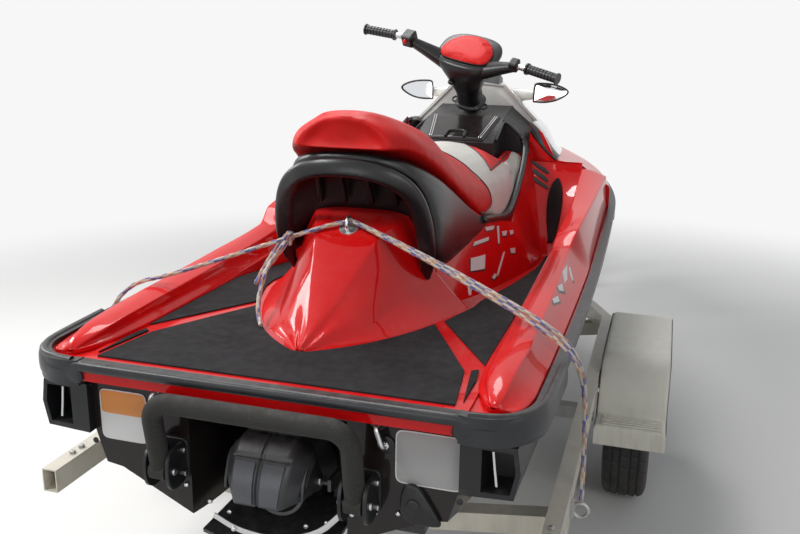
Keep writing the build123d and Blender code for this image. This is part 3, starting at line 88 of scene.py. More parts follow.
def to_row(points: object) -> Array:
    """Craft-frame millimetres to shared-frame metres."""
    return (np.asarray(points, dtype=float) + ORIGIN) / 1000.0


def to_craft(points: object) -> Array:
    """Shared-frame metres to craft-frame millimetres."""
    return np.asarray(points) * 1000.0 - ORIGIN


def xyz(x: object, y: object, z: object) -> Array:
    """Points (..., 3) from coordinates that are broadcast together."""
    return np.stack(np.broadcast_arrays(x, y, z), -1)


def lattice(rows: tuple, columns: tuple) -> list[Array]:
    """Two coordinate grids from (first, last, count) down the rows and along the columns."""
    return np.meshgrid(np.linspace(*rows), np.linspace(*columns), indexing="ij")


def sheer(x: object) -> Array:
    """Height of the bond line: a long arc seen from the side."""
    arc = 30400.0
    return 424 + arc - np.sqrt(arc**2 - (np.asarray(x, dtype=float) + 300) ** 2)


def cut_corners(points: object, rounds: int, closed: bool = False) -> Array:
    """Rounds a line by cutting each corner at a quarter and three quarters of its runs.

    Args:
        points: Line of shape (..., n, d), worked along its next to last axis.
        rounds: How often the corners are cut.
        closed: Whether the line runs round.

    Returns:
        The finer line; repeated points give tighter corners.
    """
    line = np.asarray(points, dtype=float)
    for _ in range(rounds):
        after = np.roll(line, -1, axis=-2) if closed else line[..., 1:, :]
        here = line if closed else line[..., :-1, :]
        pair = np.stack([0.75 * here + 0.25 * after, 0.25 * here + 0.75 * after], axis=-2)
        fine = pair.reshape(*line.shape[:-2], -1, line.shape[-1])
        line = fine if closed else np.concatenate([line[..., :1, :], fine, line[..., -1:, :]], axis=-2)
    return line


def spread(line: Array, count: int) -> Array:
    """Places points at equal steps of length along a line.

    Args:
        line: Points (n, d).
        count: Number of points wanted.

    Returns:
        Points (count, d).
    """
    length = np.concatenate([[0.0], np.cumsum(np.linalg.norm(np.diff(line, axis=0), axis=1))])
    at = np.linspace(0, length[-1], count)
    return np.stack([np.interp(at, length, column) for column in line.T], -1)


def eased(points: object, rounds: int, count: int) -> Array:
    """Line through points with its corners cut, in even steps."""
    return spread(cut_corners(points, rounds), count)


def through(knots: Array, values: Array, at: Array) -> Array:
    """Cubic through given values, with slopes that keep a steady run steady.

    Args:
        knots: Rising places, shape (n,).
        values: Values there, shape (n, ...).
        at: Places asked for, shape (m,).

    Returns:
        Values of shape (m, ...): each span is a cubic whose end slopes are the harmonic mean of its
        neighbours' slopes, and nought where those turn round.
    """
    extra = (slice(None),) + (None,) * (values.ndim - 1)
    gap = np.diff(knots)
    rise = np.diff(values, axis=0) / gap[extra]
    slope = np.zeros_like(values)
    slope[0], slope[-1] = rise[0], rise[-1]
    before, after = rise[:-1], rise[1:]
    same = before * after > 0
    slope[1:-1] = np.where(same, 2 * before * after / np.where(same, before + after, 1.0), 0.0)
    span = np.clip(np.searchsorted(knots, at, side="right") - 1, 0, len(gap) - 1)
    t, h = ((at - knots[span]) / gap[span])[extra], gap[span][extra]
    return ((1 + 2 * t) * (1 - t) ** 2 * values[span] + t * (1 - t) ** 2 * h * slope[span]
            + t**2 * (3 - 2 * t) * values[span + 1] + t**2 * (t - 1) * h * slope[span + 1])


def both(half: Array) -> Array:
    """Port-side lines (..., n, 3) joined to their mirror image, so that they run right round or across."""
    return np.concatenate([half, half[..., ::-1, :] * MIRROR], axis=-2)


def stations(rows: object) -> Array:
    """Rows of (x, (y, z), ...) as points (rows, n, 3)."""
    return np.array([[(row[0], *pair) for pair in row[1:]] for row in rows], dtype=float)


def sections(rows: object, count: int, rounds: int) -> Array:
    """Half sections spread smoothly along the craft and closed to full rings.

    Args:
        rows: One (x, (y, z), ...) row for each station.
        count: Rings between the first and last station.
        rounds: Corner cuts round each ring.

    Returns:
        Grid (count, m, 3); between stations each column is a cubic over the summed distance of the stations.
    """
    half = stations(rows)
    steps = np.concatenate([[0.0], np.cumsum(np.linalg.norm(np.diff(half, axis=0), axis=2).mean(axis=1) + 0.01)])
    return cut_corners(both(through(steps, half, np.linspace(0, steps[-1], count))), rounds, closed=True)


def round_angles(count: int) -> Array:
    """Even angles round a circle."""
    return np.linspace(0, TURN, count, endpoint=False)


def oval(wide: float, high: float, count: int = 24, power: float = 2.0) -> Array:
    """Closed oval profile (count, 2); a power over 2 squares it off."""
    c, s = np.cos(round_angles(count)), np.sin(round_angles(count))
    return np.stack([wide * np.sign(c) * np.abs(c) ** (2 / power), high * np.sign(s) * np.abs(s) ** (2 / power)], -1)


def unit(vectors: Array) -> Array:
    """Vectors brought to length one."""
    return vectors / np.linalg.norm(vectors, axis=-1, keepdims=True)


def carried(path: Array, profile: Array, up: object = UP, size: Array | None = None) -> Array:
    """Carries a profile along a path.

    Args:
        path: Points (n, 3).
        profile: Points (m, 2): first to the side, then up.
        up: Direction that the profile's second value follows.
        size: Factor per path point, (n,) or (n, 2) for side and up.

    Returns:
        Grid (n, m, 3): path + side * profile side + top * profile up, where side is the tangent crossed
        with up and top is side crossed with the tangent.
    """
    tangent = unit(np.gradient(path, axis=0))
    side = unit(np.cross(tangent, up))
    top = np.cross(side, tangent)
    factor = np.reshape(np.ones(len(path)) if size is None else size, (len(path), 1, -1))
    return (path[:, None] + profile[None, :, :1] * side[:, None] * factor[..., :1]
            + profile[None, :, 1:] * top[:, None] * factor[..., -1:])


def carried_ring(line: Array, radius: float) -> Array:
    """Tube round a closed flat line.

    Args:
        line: Points (n, 3), run round once.
        radius: Radius of the tube.

    Returns:
        Grid (n, 10, 3); each ring stands on the tangent crossed with the line's own normal, and on that normal.
    """
    spokes = line - line.mean(axis=0)
    normal = unit(np.cross(spokes, np.roll(spokes, -1, axis=0)).sum(axis=0))
    side = np.cross(unit(np.roll(line, -1, axis=0) - np.roll(line, 1, axis=0)), normal)
    ring = oval(radius, radius, 10)
    return line[:, None] + ring[None, :, :1] * side[:, None] + ring[None, :, 1:] * normal


def disc(centre: object, normal: object, radius: float, thick: float, dome: float = 0.0, count: int = 24) -> Array:
    """Round plate or bolt head: rings out from its back, round its edge and over its front.

    Args:
        centre: Middle of its back.
        normal: Direction that it faces.
        radius: Its radius.
        thick: Its thickness at the edge.
        dome: Extra height in the middle.
        count: Points round it, six for a hexagon.

    Returns:
        Grid (5, count, 3).
    """
    normal = unit(np.asarray(normal, float))
    side = np.cross(UP, normal)
    side = unit(side) if np.linalg.norm(side) > 1e-6 else FORE
    ring = oval(1.0, 1.0, count)
    steps = np.array([(1.0, 0.0), (1.0, thick * 0.75), (0.93, thick), (0.6, thick + dome * 0.7), (0.25, thick + dome)])
    flat = ring[None, :, :1] * side + ring[None, :, 1:] * np.cross(normal, side)
    return np.asarray(centre, float) + flat * radius * steps[:, :1, None] + normal * steps[:, 1:, None]


def nested(outline: Array, steps: object) -> Array:
    """Rings made from one outline.

    Args:
        outline: Closed outline (n, 2).
        steps: One (share, height) pair for each ring.

    Returns:
        Grid (steps, n, 3): the outline scaled by the share about its middle, at the height.
    """
    middle, steps = outline.mean(axis=0), np.array(steps, float)[:, None]
    flat = middle + (outline - middle) * steps[..., :1]
    return np.concatenate([flat, np.broadcast_to(steps[..., 1:], (*flat.shape[:2], 1))], -1)


def facing_aft(x: float) -> Callable[[Array], Array]:
    """Takes (to port, up, aft) coordinates to the craft frame, for a plane that stands at x."""
    return lambda p: xyz(x - p[..., 2], p[..., 0], p[..., 1])


def linked(name: str, data: bpy.types.ID) -> bpy.types.Object:
    """Makes an object in the scene.

    Args:
        name: Its name.
        data: Its mesh, curve, camera or lamp.

    Returns:
        The object.
    """
    made = bpy.data.objects.new(name, data)
    bpy.context.scene.collection.objects.link(made)
    return made


@dataclass
class Shape:
    """Vertices and faces gathered from grids before they become one mesh."""

    points: list[Array] = field(default_factory=list)
    faces: list[list[int]] = field(default_factory=list)
    count: int = 0

    def grid(self, grid: Array, wrap_rows: bool = False, wrap_columns: bool = False, caps: bool = False) -> Shape:
        """Adds a grid of four-sided faces.

        Args:
            grid: Points (rows, columns, 3).
            wrap_rows: Joins the last row to the first.
            wrap_columns: Joins the last column to the first.
            caps: Closes both end rings with a fan to their middle.

        Returns:
            The shape itself.
        """
        rows, columns = grid.shape[:2]
        r = np.arange(rows if wrap_rows else rows - 1)[:, None]
        c = np.arange(columns if wrap_columns else columns - 1)[None, :]
        r1, c1 = (r + 1) % rows, (c + 1) % columns
        corners = [r * columns + c, r * columns + c1, r1 * columns + c1, r1 * columns + c]
        start = self.count
        self.faces += (np.stack([corner.ravel() for corner in corners], axis=-1) + start).tolist()
        self.points.append(grid.reshape(-1, 3))
        self.count += rows * columns
        ring = np.arange(columns)
        for row in (0, rows - 1) if caps else ():
            one, two = start + row * columns + ring, start + row * columns + (ring + 1) % columns
            fan = np.stack([np.full(columns, self.count), one, two], -1)
            self.faces += (fan[:, ::-1] if row else fan).tolist()
            self.points.append(grid[row].mean(axis=0)[None])
            self.count += 1
        return self

    def solid(self, grid: Array) -> Shape:
        """Adds a grid of closed rings with capped ends."""
        return self.grid(grid, wrap_columns=True, caps=True)

    def slab(self, top: Array, under: Array) -> Shape:
        """Adds the closed body between two grids of the same size."""
        return self.solid(np.concatenate([top, under[:, ::-1]], axis=1))

    def sheet(self, outer: Array, inner: Array) -> Shape:
        """Adds the thin sheet between two skins, its ends folded onto their middle line.

        Args:
            outer: Outer skin, (rows, columns, 3).
            inner: Inner skin of the same size.

        Returns:
            The shape itself.
        """
        middle = 0.5 * (outer + inner)[[0, -1]]
        ends = np.concatenate([middle, middle[:, ::-1]], axis=1)
        ring = np.concatenate([outer, inner[:, ::-1]], axis=1)
        return self.grid(np.concatenate([ends[:1], ring, ends[1:]]), wrap_columns=True)

    def bar(self, path: Array, profile: Array, up: object = UP, size: Array | None = None) -> Shape:
        """Adds a profile carried along a path, as ``carried`` says."""
        return self.solid(carried(path, profile, up, size))

    def tube(self, path: Array, radius: float | Array, count: int = 12, up: object = UP) -> Shape:
        """Adds a round bar; its radius may change along the path."""
        return self.bar(path, oval(1.0, 1.0, count), up, np.broadcast_to(radius, len(path)))

    def ring(self, line: Array, radius: float) -> Shape:
        """Adds a tube round a closed flat line."""
        return self.grid(carried_ring(line, radius), wrap_rows=True, wrap_columns=True)

    def bolt(self, *sizes: object) -> Shape:
        """Adds a round plate or bolt head, with the sizes of ``disc``."""
        return self.solid(disc(*sizes))

    def panel(self, outline: Array, place: Callable[[Array], Array], low: float, high: float,
              edge: float = 2.0) -> Shape:
        """Adds a raised flat panel: its outline stands at low, rounds over the edge and closes at high.

        Args:
            outline: Closed outline (n, 2) in the panel's own plane.
            place: Function from (..., 3) panel coordinates to the craft frame.
            low: Height of the underside.
            high: Height of the face.
            edge: Width of the rounded edge.

        Returns:
            The shape itself.
        """
        reach = np.linalg.norm(outline - outline.mean(axis=0), axis=1).mean()
        return self.solid(place(nested(outline, [
            (1.0, low), (1.0, high - edge * 0.6), (1 - edge * 0.4 / reach, high - edge * 0.15),
            (1 - edge / reach, high), (0.5, high), (0.02, high)])))

    def mirrored(self) -> Shape:
        """Adds the same shape on the other side of the centre plane."""
        self.points.append(np.concatenate(self.points) * MIRROR)
        self.faces += [[i + self.count for i in face[::-1]] for face in self.faces]
        self.count *= 2
        return self

    def piece(self, name: str, finish: Finishes | None, body: str = ROOT, stands_for: str = "", slot: str = "",
              sharp: float | None = None, merge: float = 0.0, outwards: bool = True) -> bpy.types.Object:
        """Makes the object, smooth and on its body.

        Args:
            name: Its name.
            finish: Its finish, or none yet.
            body: Body that it rides on.
            stands_for: Node whose place it takes.
            slot: Material slot, where it isn't the finish's own; not used.
            sharp: Angle in degrees over which an edge stays sharp.
            merge: Distance in metres within which vertices become one.
            outwards: Whether its faces are turned outwards.

        Returns:
            The object.
        """
        mesh = bpy.data.meshes.new(name)
        mesh.from_pydata(to_row(np.concatenate(self.points)).tolist(), [], self.faces)
        mesh.update()
        if outwards:
            work = bmesh.new()
            work.from_mesh(mesh)
            if merge:
                bmesh.ops.remove_doubles(work, verts=work.verts, dist=merge)
            bmesh.ops.recalc_face_normals(work, faces=work.faces)
            work.to_mesh(mesh)
            work.free()
        mesh.polygons.foreach_set("use_smooth", np.full(len(mesh.polygons), True))
        if sharp is not None:
            mesh.set_sharp_from_angle(angle=math.radians(sharp))
        made = linked(name, mesh)
        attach(made, body)
        if finish:
            mesh.materials.append(finish.material)
            slot = slot or finish.slot
        if stands_for:
            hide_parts(stands_for)
        LOG.info("%s: %d faces", name, len(mesh.polygons))
        return made


class Tree:
    """A node tree that is written as expressions."""

    def __init__(self, tree: bpy.types.NodeTree) -> None:
        """Keeps the tree."""
        self.tree = tree

    def node(self, kind: str, inputs: dict | None = None, **settings: object) -> bpy.types.Node:
        """Adds a node.

        Args:
            kind: Its type.
            inputs: Links or values by input.
            **settings: Its properties.

        Returns:
            The node.
        """
        node = self.tree.nodes.new(kind)
        for key, value in settings.items():
            setattr(node, key, value)
        for key, value in (inputs or {}).items():
            self.put(node.inputs[key], value)
        return node

    def put(self, socket: Socket, value: object) -> None:
        """Links a socket, or sets its own value.

        Args:
            socket: The input.
            value: An output, a number or a colour.
        """
        if isinstance(value, Socket):
            self.tree.links.new(value, socket)
        elif socket.type == "RGBA" and len(value) == 3:
            socket.default_value = (*value, 1.0)
        else:
            socket.default_value = value

    def math(self, operation: str, one: object, two: object = 0.0, clamp: bool = False) -> Socket:
        """One Math node."""
        return self.node("ShaderNodeMath", {0: one, 1: two}, operation=operation, use_clamp=clamp).outputs[0]

    def times(self, one: object, two: object) -> Socket:
        """Product of two numbers."""
        return self.math("MULTIPLY", one, two)

    def mix(self, factor: object, one: object, two: object) -> Socket:
        """Mixes two colours."""
        return self.node("ShaderNodeMix", {0: factor, 6: one, 7: two}, data_type="RGBA").outputs[2]

    def blend(self, factor: object, one: object, two: object) -> Socket:
        """Mixes two numbers."""
        return self.node("ShaderNodeMix", {0: factor, 2: one, 3: two}).outputs[0]

    def noise(self, vector: object, scale: object, detail: float = 3.0, rough: float = 0.55) -> Socket:
        """Noise as a number."""
        inputs = {"Vector": vector, "Scale": scale, "Detail": detail, "Roughness": rough}
        return self.node("ShaderNodeTexNoise", inputs).outputs["Fac"]

    def stretched(self, vector: object, scale: Colour, turn: Colour = (0.0, 0.0, 0.0)) -> Socket:
        """A vector scaled and turned."""
        return self.node("ShaderNodeMapping", {"Vector": vector, "Rotation": turn, "Scale": scale}).outputs[0]

    def ramp(self, value: object, low: float, high: float) -> Socket:
        """Takes low to nought and high to one, with soft ends."""
        return self.node("ShaderNodeMapRange", {0: value, 1: low, 2: high, 3: 0.0, 4: 1.0},
                         interpolation_type="SMOOTHSTEP").outputs[0]

    def upward(self, vector: object) -> Socket:
        """A vector's Z."""
        return self.node("ShaderNodeSeparateXYZ", {0: vector}).outputs["Z"]

    def place(self) -> Socket:
        """Object coordinates."""
        return self.node("ShaderNodeTexCoord").outputs["Object"]

    def seen(self) -> Socket:
        """One for camera, transmission and glossy rays, nought for the others."""
        path = self.node("ShaderNodeLightPath").outputs
        direct = self.math("ADD", path["Is Camera Ray"], path["Is Transmission Ray"])
        return self.math("ADD", direct, path["Is Glossy Ray"], clamp=True)

    def group(self, name: str, **inputs: object) -> bpy.types.NodeOutputs:
        """Places a shared group with its own values."""
        values = {key.title(): value for key, value in inputs.items()}
        return self.node("ShaderNodeGroup", values, node_tree=SharedGroups.get(name)).outputs


class SharedGroups:
    """Shader groups that several finishes use, each built once."""

    @classmethod
    def get(cls, name: str) -> bpy.types.NodeTree:
        """The group of that name, built on first use."""
        return bpy.data.node_groups.get(name) or getattr(cls, name)(name)

    @staticmethod
    def start(name: str, inputs: dict[str, float], *outputs: str) -> tuple[Tree, Socket, dict, dict]:
        """Opens a group.

        Args:
            name: Its name.
            inputs: Values of its number inputs, which come after a Vector input.
            *outputs: Names of its number outputs.

        Returns:
            The tree, the Vector, and the sockets that come in and go out.
        """
        tree = bpy.data.node_groups.new(name, "ShaderNodeTree")
        tree.interface.new_socket(name="Vector", in_out="INPUT", socket_type="NodeSocketVector")
        for key, value in inputs.items():
            tree.interface.new_socket(name=key, in_out="INPUT", socket_type="NodeSocketFloat").default_value = value
        for key in outputs:
            tree.interface.new_socket(name=key, in_out="OUTPUT", socket_type="NodeSocketFloat")
        given = tree.nodes.new("NodeGroupInput").outputs
        return Tree(tree), given["Vector"], given, tree.nodes.new("NodeGroupOutput").inputs

    @classmethod
    def grain(cls, name: str) -> bpy.types.NodeTree:
        """Moulded or leather grain: cell edges broken up by fine noise.

        Args:
            name: The group's name.

        Returns:
            The group.
        """
        t, vector, given, out = cls.start(name, {"Scale": 900.0, "Cells": 0.6}, "Height")
        cell = t.node("ShaderNodeTexVoronoi", {"Vector": vector, "Scale": given["Scale"]}, feature="DISTANCE_TO_EDGE")
        fine = t.noise(vector, given["Scale"], 2.0)
        t.put(out["Height"], t.blend(given["Cells"], fine, t.ramp(cell.outputs["Distance"], 0.0, 0.22)))
        return t.tree

    @classmethod
    def wear(cls, name: str) -> bpy.types.NodeTree:
        """Patchy wear: broad noise cut off at a level set by Amount, and fine streaks.

        Args:
            name: The group's name.

        Returns:
            The group.
        """
        t, vector, given, out = cls.start(name, {"Scale": 9.0, "Amount": 0.5, "Streaks": 0.5}, "Mask", "Scratch")
        broad = t.noise(vector, given["Scale"], 6.0, 0.65)
        edge = t.math("SUBTRACT", 0.95 - 0.18, t.times(given["Amount"], 0.75))
        t.put(out["Mask"], t.math("DIVIDE", t.math("SUBTRACT", broad, edge), 0.36, clamp=True))
        lines = t.ramp(t.noise(t.stretched(vector, (260.0, 9.0, 40.0), (0.4, 0.2, 0.7)), 1.0, 2.0), 0.68, 0.74)
        t.put(out["Scratch"], t.times(lines, given["Streaks"]))
        return t.tree

    @classmethod
    def dust(cls, name: str) -> bpy.types.NodeTree:
        """Dust that settles on faces that look up, thinned by noise.

        Args:
            name: The group's name.

        Returns:
            The group.
        """
        t, vector, given, out = cls.start(name, {"Amount": 0.4, "Scale": 40.0}, "Mask")
        settled = t.ramp(t.upward(t.node("ShaderNodeNewGeometry").outputs["Normal"]), 0.35, 1.0)
        patch = t.ramp(t.noise(vector, given["Scale"], 5.0), 0.35, 0.75)
        t.put(out["Mask"], t.times(t.times(settled, patch), given["Amount"]))
        return t.tree

    @classmethod
    def grime(cls, name: str) -> bpy.types.NodeTree:
        """Splash dirt that thickens below a height, with runs.

        Args:
            name: The group's name.

        Returns:
            The group.
        """
        t, vector, given, out = cls.start(name, {"Level": 0.4, "Depth": 0.3, "Amount": 0.6}, "Mask")
        low = t.math("DIVIDE", t.math("SUBTRACT", given["Level"], t.upward(vector)), given["Depth"], clamp=True)
        patch = t.ramp(t.noise(t.stretched(vector, (30.0, 30.0, 4.0)), 1.0, 6.0, 0.7), 0.32, 0.72)
        t.put(out["Mask"], t.times(t.times(low, patch), given["Amount"]))
        return t.tree


def new_material(title: str) -> tuple[bpy.types.Material, Tree, bpy.types.NodeInputs]:
    """Makes a material with nodes.

    Args:
        title: Its name.

    Returns:
        The material, its tree and its shader's inputs.
    """
    made = bpy.data.materials.new(title)
    made.use_nodes = True
    return made, Tree(made.node_tree), made.node_tree.nodes["Principled BSDF"].inputs


@dataclass(frozen=True)
class Finish:
    """A finish with grain, wear, dust and splash dirt; subclasses change the base colour."""

    name: str
    colour: Colour
    roughness: float = 0.45
    metallic: float = 0.0
    coat: float = 0.0
    coat_roughness: float = 0.05
    specular: float = 0.5
    sheen: float = 0.0
    grain: float = 900.0
    cells: float = 0.5
    depth: float = 0.0002
    relief: float = 0.3
    worn: Colour = (0.5, 0.5, 0.5)
    wear: float = 0.3
    wear_scale: float = 9.0
    wear_mix: float = 0.25
    streaks: float = 0.3
    dust: float = 0.25
    dust_colour: Colour = (0.42, 0.38, 0.33)
    grime: float = 0.0
    grime_level: float = 0.0

    def base(self, t: Tree, place: Socket) -> object:
        """Base colour before wear and dust."""
        return self.colour

    def material(self) -> bpy.types.Material:
        """The material, made once: base colour under wear, dust and dirt, over grain."""
        title = f"look_{self.name}"
        found = bpy.data.materials.get(title)
        if found:
            return found
        made, t, shader = new_material(title)
        made.diffuse_color = (*self.colour, 1.0)
        place = t.place()
        worn = t.group("wear", vector=place, scale=self.wear_scale, amount=self.wear, streaks=self.streaks)
        dusty = t.group("dust", vector=place, amount=self.dust)["Mask"]
        wear = t.times(t.math("MAXIMUM", worn["Mask"], worn["Scratch"]), self.wear_mix)
        colour = t.mix(dusty, t.mix(wear, self.base(t, place), self.worn), self.dust_colour)
        if self.grime:
            dirt = t.group("grime", vector=place, level=self.grime_level, amount=self.grime)["Mask"]
            colour = t.mix(dirt, colour, (0.1, 0.085, 0.065))
        rough = t.blend(wear, self.roughness, min(self.roughness + 0.3, 1.0))
        height = t.group("grain", vector=place, scale=self.grain, cells=self.cells)["Height"]
        bump = t.node("ShaderNodeBump", {"Height": height, "Distance": self.depth, "Strength": self.relief})
        for key, value in {"Base Color": colour, "Roughness": t.blend(dusty, rough, 0.8), "Normal": bump.outputs[0],
                           "Metallic": self.metallic, "Coat Weight": self.coat, "Coat Roughness": self.coat_roughness,
                           "Specular IOR Level": self.specular, "Sheen Weight": self.sheen}.items():
            t.put(shader[key], value)
        return made


@dataclass(frozen=True)
class Vinyl(Finish):
    """Leather-grained vinyl in two colours, divided by the number stored on each vertex."""

    second: Colour = (0.74, 0.72, 0.66)

    def base(self, t: Tree, place: Socket) -> Socket:
        """Base colour before wear and dust.

        Args:
            t: The material's tree.
            place: Object coordinates.

        Returns:
            First colour where the stored distance is over nought, second elsewhere, both a little uneven.
        """
        side = t.ramp(t.node("ShaderNodeAttribute", attribute_name="panel").outputs["Fac"], -0.7, 0.7)
        soft = t.ramp(t.noise(place, 14.0), 0.3, 0.8)
        red = t.mix(soft, self.colour, tuple(c * 0.82 for c in self.colour))
        pale = t.mix(soft, self.second, tuple(c * 0.9 for c in self.second))
        return t.mix(side, pale, red)


@dataclass(frozen=True)
class Braid(Finish):
    """Braided rope: each point's own strand colour, dulled here and there."""

    def base(self, t: Tree, place: Socket) -> Socket:
        """Strand colour, darker in patches of dirt."""
        strand = t.node("ShaderNodeAttribute", attribute_name="braid").outputs["Color"]
        return t.mix(t.times(t.ramp(t.noise(place, 18.0, 4.0), 0.45, 0.8), 0.45), strand, (0.16, 0.13, 0.1))


@dataclass(frozen=True)
class Cowl(Finish):
    """Glossy white cowl with a dark band along its rear edge."""

    edge: float = -0.125

    def base(self, t: Tree, place: Socket) -> Socket:
        """Dark aft of a plane that leans with the cowl, the finish's colour ahead of it."""
        ahead = t.math("ADD", t.node("ShaderNodeSeparateXYZ", {0: place}).outputs["X"], t.times(t.upward(place), 0.12))
        return t.mix(t.ramp(ahead, self.edge + 0.119, self.edge + 0.121), (0.05, 0.05, 0.052), self.colour)


@dataclass(frozen=True)
class Speckled(Finish):
    """Foam rubber with small pale specks."""

    def base(self, t: Tree, place: Socket) -> Socket:
        """Dark foam, pale where fine noise peaks."""
        specks = t.ramp(t.noise(place, 420.0, 2.0), 0.69, 0.73)
        return t.mix(t.times(specks, 0.5), self.colour, (0.3, 0.29, 0.27))


def gelcoat(name: str, colour: Colour, **more: object) -> Finish:
    """Glossy moulded skin with a clear coat and faint water marks."""
    return Finish(name, colour, roughness=0.3, coat=0.45, coat_roughness=0.02, specular=0.08, grain=60.0, cells=0.0,
                  depth=0.0003, relief=0.02, wear=0.35, wear_mix=0.03, streaks=0.25, dust=0.03, **more)


def plastic(name: str, colour: Colour, roughness: float, **more: object) -> Finish:
    """Grained moulded plastic or rubber."""
    settings = {"grain": 1100.0, "cells": 0.4, "depth": 0.00025, "relief": 0.35, "wear_mix": 0.12, "dust": 0.12}
    return Finish(name, colour, roughness, **(settings | more))


def plate(name: str, colour: Colour, roughness: float = 0.4) -> Finish:
    """Smooth coloured film."""
    return plastic(name, colour, roughness, relief=0.1)


def metal(name: str, colour: Colour, roughness: float, metallic: float = 1.0, **more: object) -> Finish:
    """Cast, coated or polished metal."""
    return Finish(name, colour, roughness, metallic, **more)


class Finishes(Enum):
    """Every finish on the craft and its trailer."""

    RED = gelcoat("gelcoat_red", (0.63, 0.004, 0.005), worn=(0.9, 0.5, 0.45))
    WHITE = gelcoat("gelcoat_white", (0.80, 0.79, 0.75), worn=(0.6, 0.58, 0.5))
    BLACK = gelcoat("gelcoat_black", (0.016, 0.011, 0.011), worn=(0.2, 0.18, 0.16), grime=0.25, grime_level=0.6)
    MOULDED = plastic("moulded_black", (0.010, 0.0105, 0.012), 0.36, specular=0.35, dust=0.05)
    PANEL = plastic("panel_grey", (0.045, 0.045, 0.05), 0.36, specular=0.4, dust=0.05)
    SATIN = plastic("satin_black", (0.0075, 0.008, 0.009), 0.3, grain=1500.0, relief=0.2, dust=0.03, specular=0.4)
    RUBBER = plastic("rubber_black", (0.011, 0.012, 0.014), 0.34, grain=500.0, wear_mix=0.16, wear=0.5,
                     worn=(0.12, 0.12, 0.13), dust=0.08, specular=0.4)
    MAT = plastic("traction_mat", (0.0085, 0.0085, 0.0095), 0.8, grain=420.0, cells=0.8, depth=0.0007, relief=0.6,
                  wear_mix=0.5, wear=0.6, wear_scale=7.0, streaks=0.9, specular=0.15, worn=(0.045, 0.045, 0.048),
                  dust=0.10, dust_colour=(0.12, 0.115, 0.11))
    FOAM = Speckled("step_foam", (0.034, 0.033, 0.031), 0.75, grain=700.0, cells=0.2, wear=0.5,
                    worn=(0.08, 0.08, 0.078), specular=0.2, dust=0.08)
    VINYL_RED = Finish("vinyl_red", (0.66, 0.016, 0.014), 0.42, grain=650.0, cells=0.75, depth=0.0003, relief=0.35,
                       wear_mix=0.05, dust=0.02, specular=0.2)
    SADDLE = Vinyl("saddle_vinyl", (0.68, 0.012, 0.010), 0.42, grain=620.0, cells=0.75, depth=0.0003, relief=0.35,
                   wear_mix=0.04, dust=0.02, specular=0.2)
    CASTING = metal("pump_casting", (0.09, 0.09, 0.095), 0.5, 0.75, grain=450.0, cells=0.2, depth=0.0004, relief=0.5,
                    worn=(0.4, 0.4, 0.4), wear_mix=0.3)
    STAINLESS = metal("stainless_steel", (0.55, 0.55, 0.56), 0.28, grain=300.0, cells=0.1, relief=0.1,
                      worn=(0.3, 0.28, 0.26))
    GALVANISED = metal("galvanised_steel", (0.36, 0.36, 0.36), 0.5, 0.85, grain=70.0, cells=0.9, relief=0.25,
                       worn=(0.24, 0.14, 0.08), wear_mix=0.3, grime_level=0.4, grime=0.4)
    ENGINE = metal("engine_block", (0.12, 0.12, 0.125), 0.5, 0.6, grain=200.0)
    GLASS = metal("mirror_glass", (0.78, 0.80, 0.82), 0.04, grain=20.0, relief=0.01, wear_mix=0.03, dust=0.03)
    CHROME = metal("bright_trim", (0.75, 0.75, 0.76), 0.1, wear_mix=0.05, relief=0.02, dust=0.03)
    CREAM = Finish("trailer_cream", (0.66, 0.62, 0.52), 0.4, coat=0.25, coat_roughness=0.2, grain=120.0, cells=0.0,
                   depth=0.0004, relief=0.15, worn=(0.32, 0.2, 0.12), wear=0.28, wear_scale=14.0, wear_mix=0.45,
                   dust=0.2, grime_level=0.52, grime=0.45)
    FENDER = plastic("fender_cream", (0.70, 0.68, 0.60), 0.4, grain=300.0, relief=0.12, worn=(0.45, 0.42, 0.36),
                     wear_mix=0.3, grime_level=0.5, grime=0.5, dust=0.15)
    TYRE = plastic("tyre_rubber", (0.018, 0.018, 0.019), 0.7, grain=250.0, wear_mix=0.3, worn=(0.09, 0.085, 0.075),
                   dust=0.3, grime_level=0.3, grime=0.6)
    CARPET = Finish("bunk_carpet", (0.03, 0.03, 0.034), 0.95, grain=1400.0, cells=0.2, depth=0.002, relief=0.9,
                    wear_mix=0.1, sheen=0.3)
    ROPE = Braid("rope_braid", (0.5, 0.42, 0.33), 0.85, grain=2200.0, cells=0.2, depth=0.0004, relief=0.6,
                 wear_mix=0.0, dust=0.05, sheen=0.25)
    COWL = Cowl("cowl_white", (0.80, 0.79, 0.75), 0.22, coat=0.9, coat_roughness=0.03, grain=60.0, cells=0.0,
                depth=0.0006, relief=0.06, wear_mix=0.05, dust=0.06)
    BUCKET = plastic("gate_black", (0.016, 0.017, 0.019), 0.38, grain=600.0, wear_mix=0.25, wear=0.5,
                     worn=(0.14, 0.14, 0.15), dust=0.1)
    TABS = plastic("gate_grey", (0.05, 0.053, 0.062), 0.3, grain=600.0, wear_mix=0.3, wear=0.5, worn=(0.2, 0.2, 0.22))
    PLATE_WHITE = plate("plate_white", (0.74, 0.73, 0.72))
    PLATE_ORANGE = plate("plate_orange", (0.72, 0.27, 0.06))
    PLATE_BRIGHT = plate("plate_bright", (0.72, 0.71, 0.7))
    PLATE_GREY = plate("plate_grey", (0.36, 0.355, 0.35), 0.35)

    @property
    def material(self) -> bpy.types.Material:
        """The finish's material."""
        return self.value.material()

    @property
    def slot(self) -> str:
        """The finish's material slot."""
        return SLOTS.get(self, self.value.name)


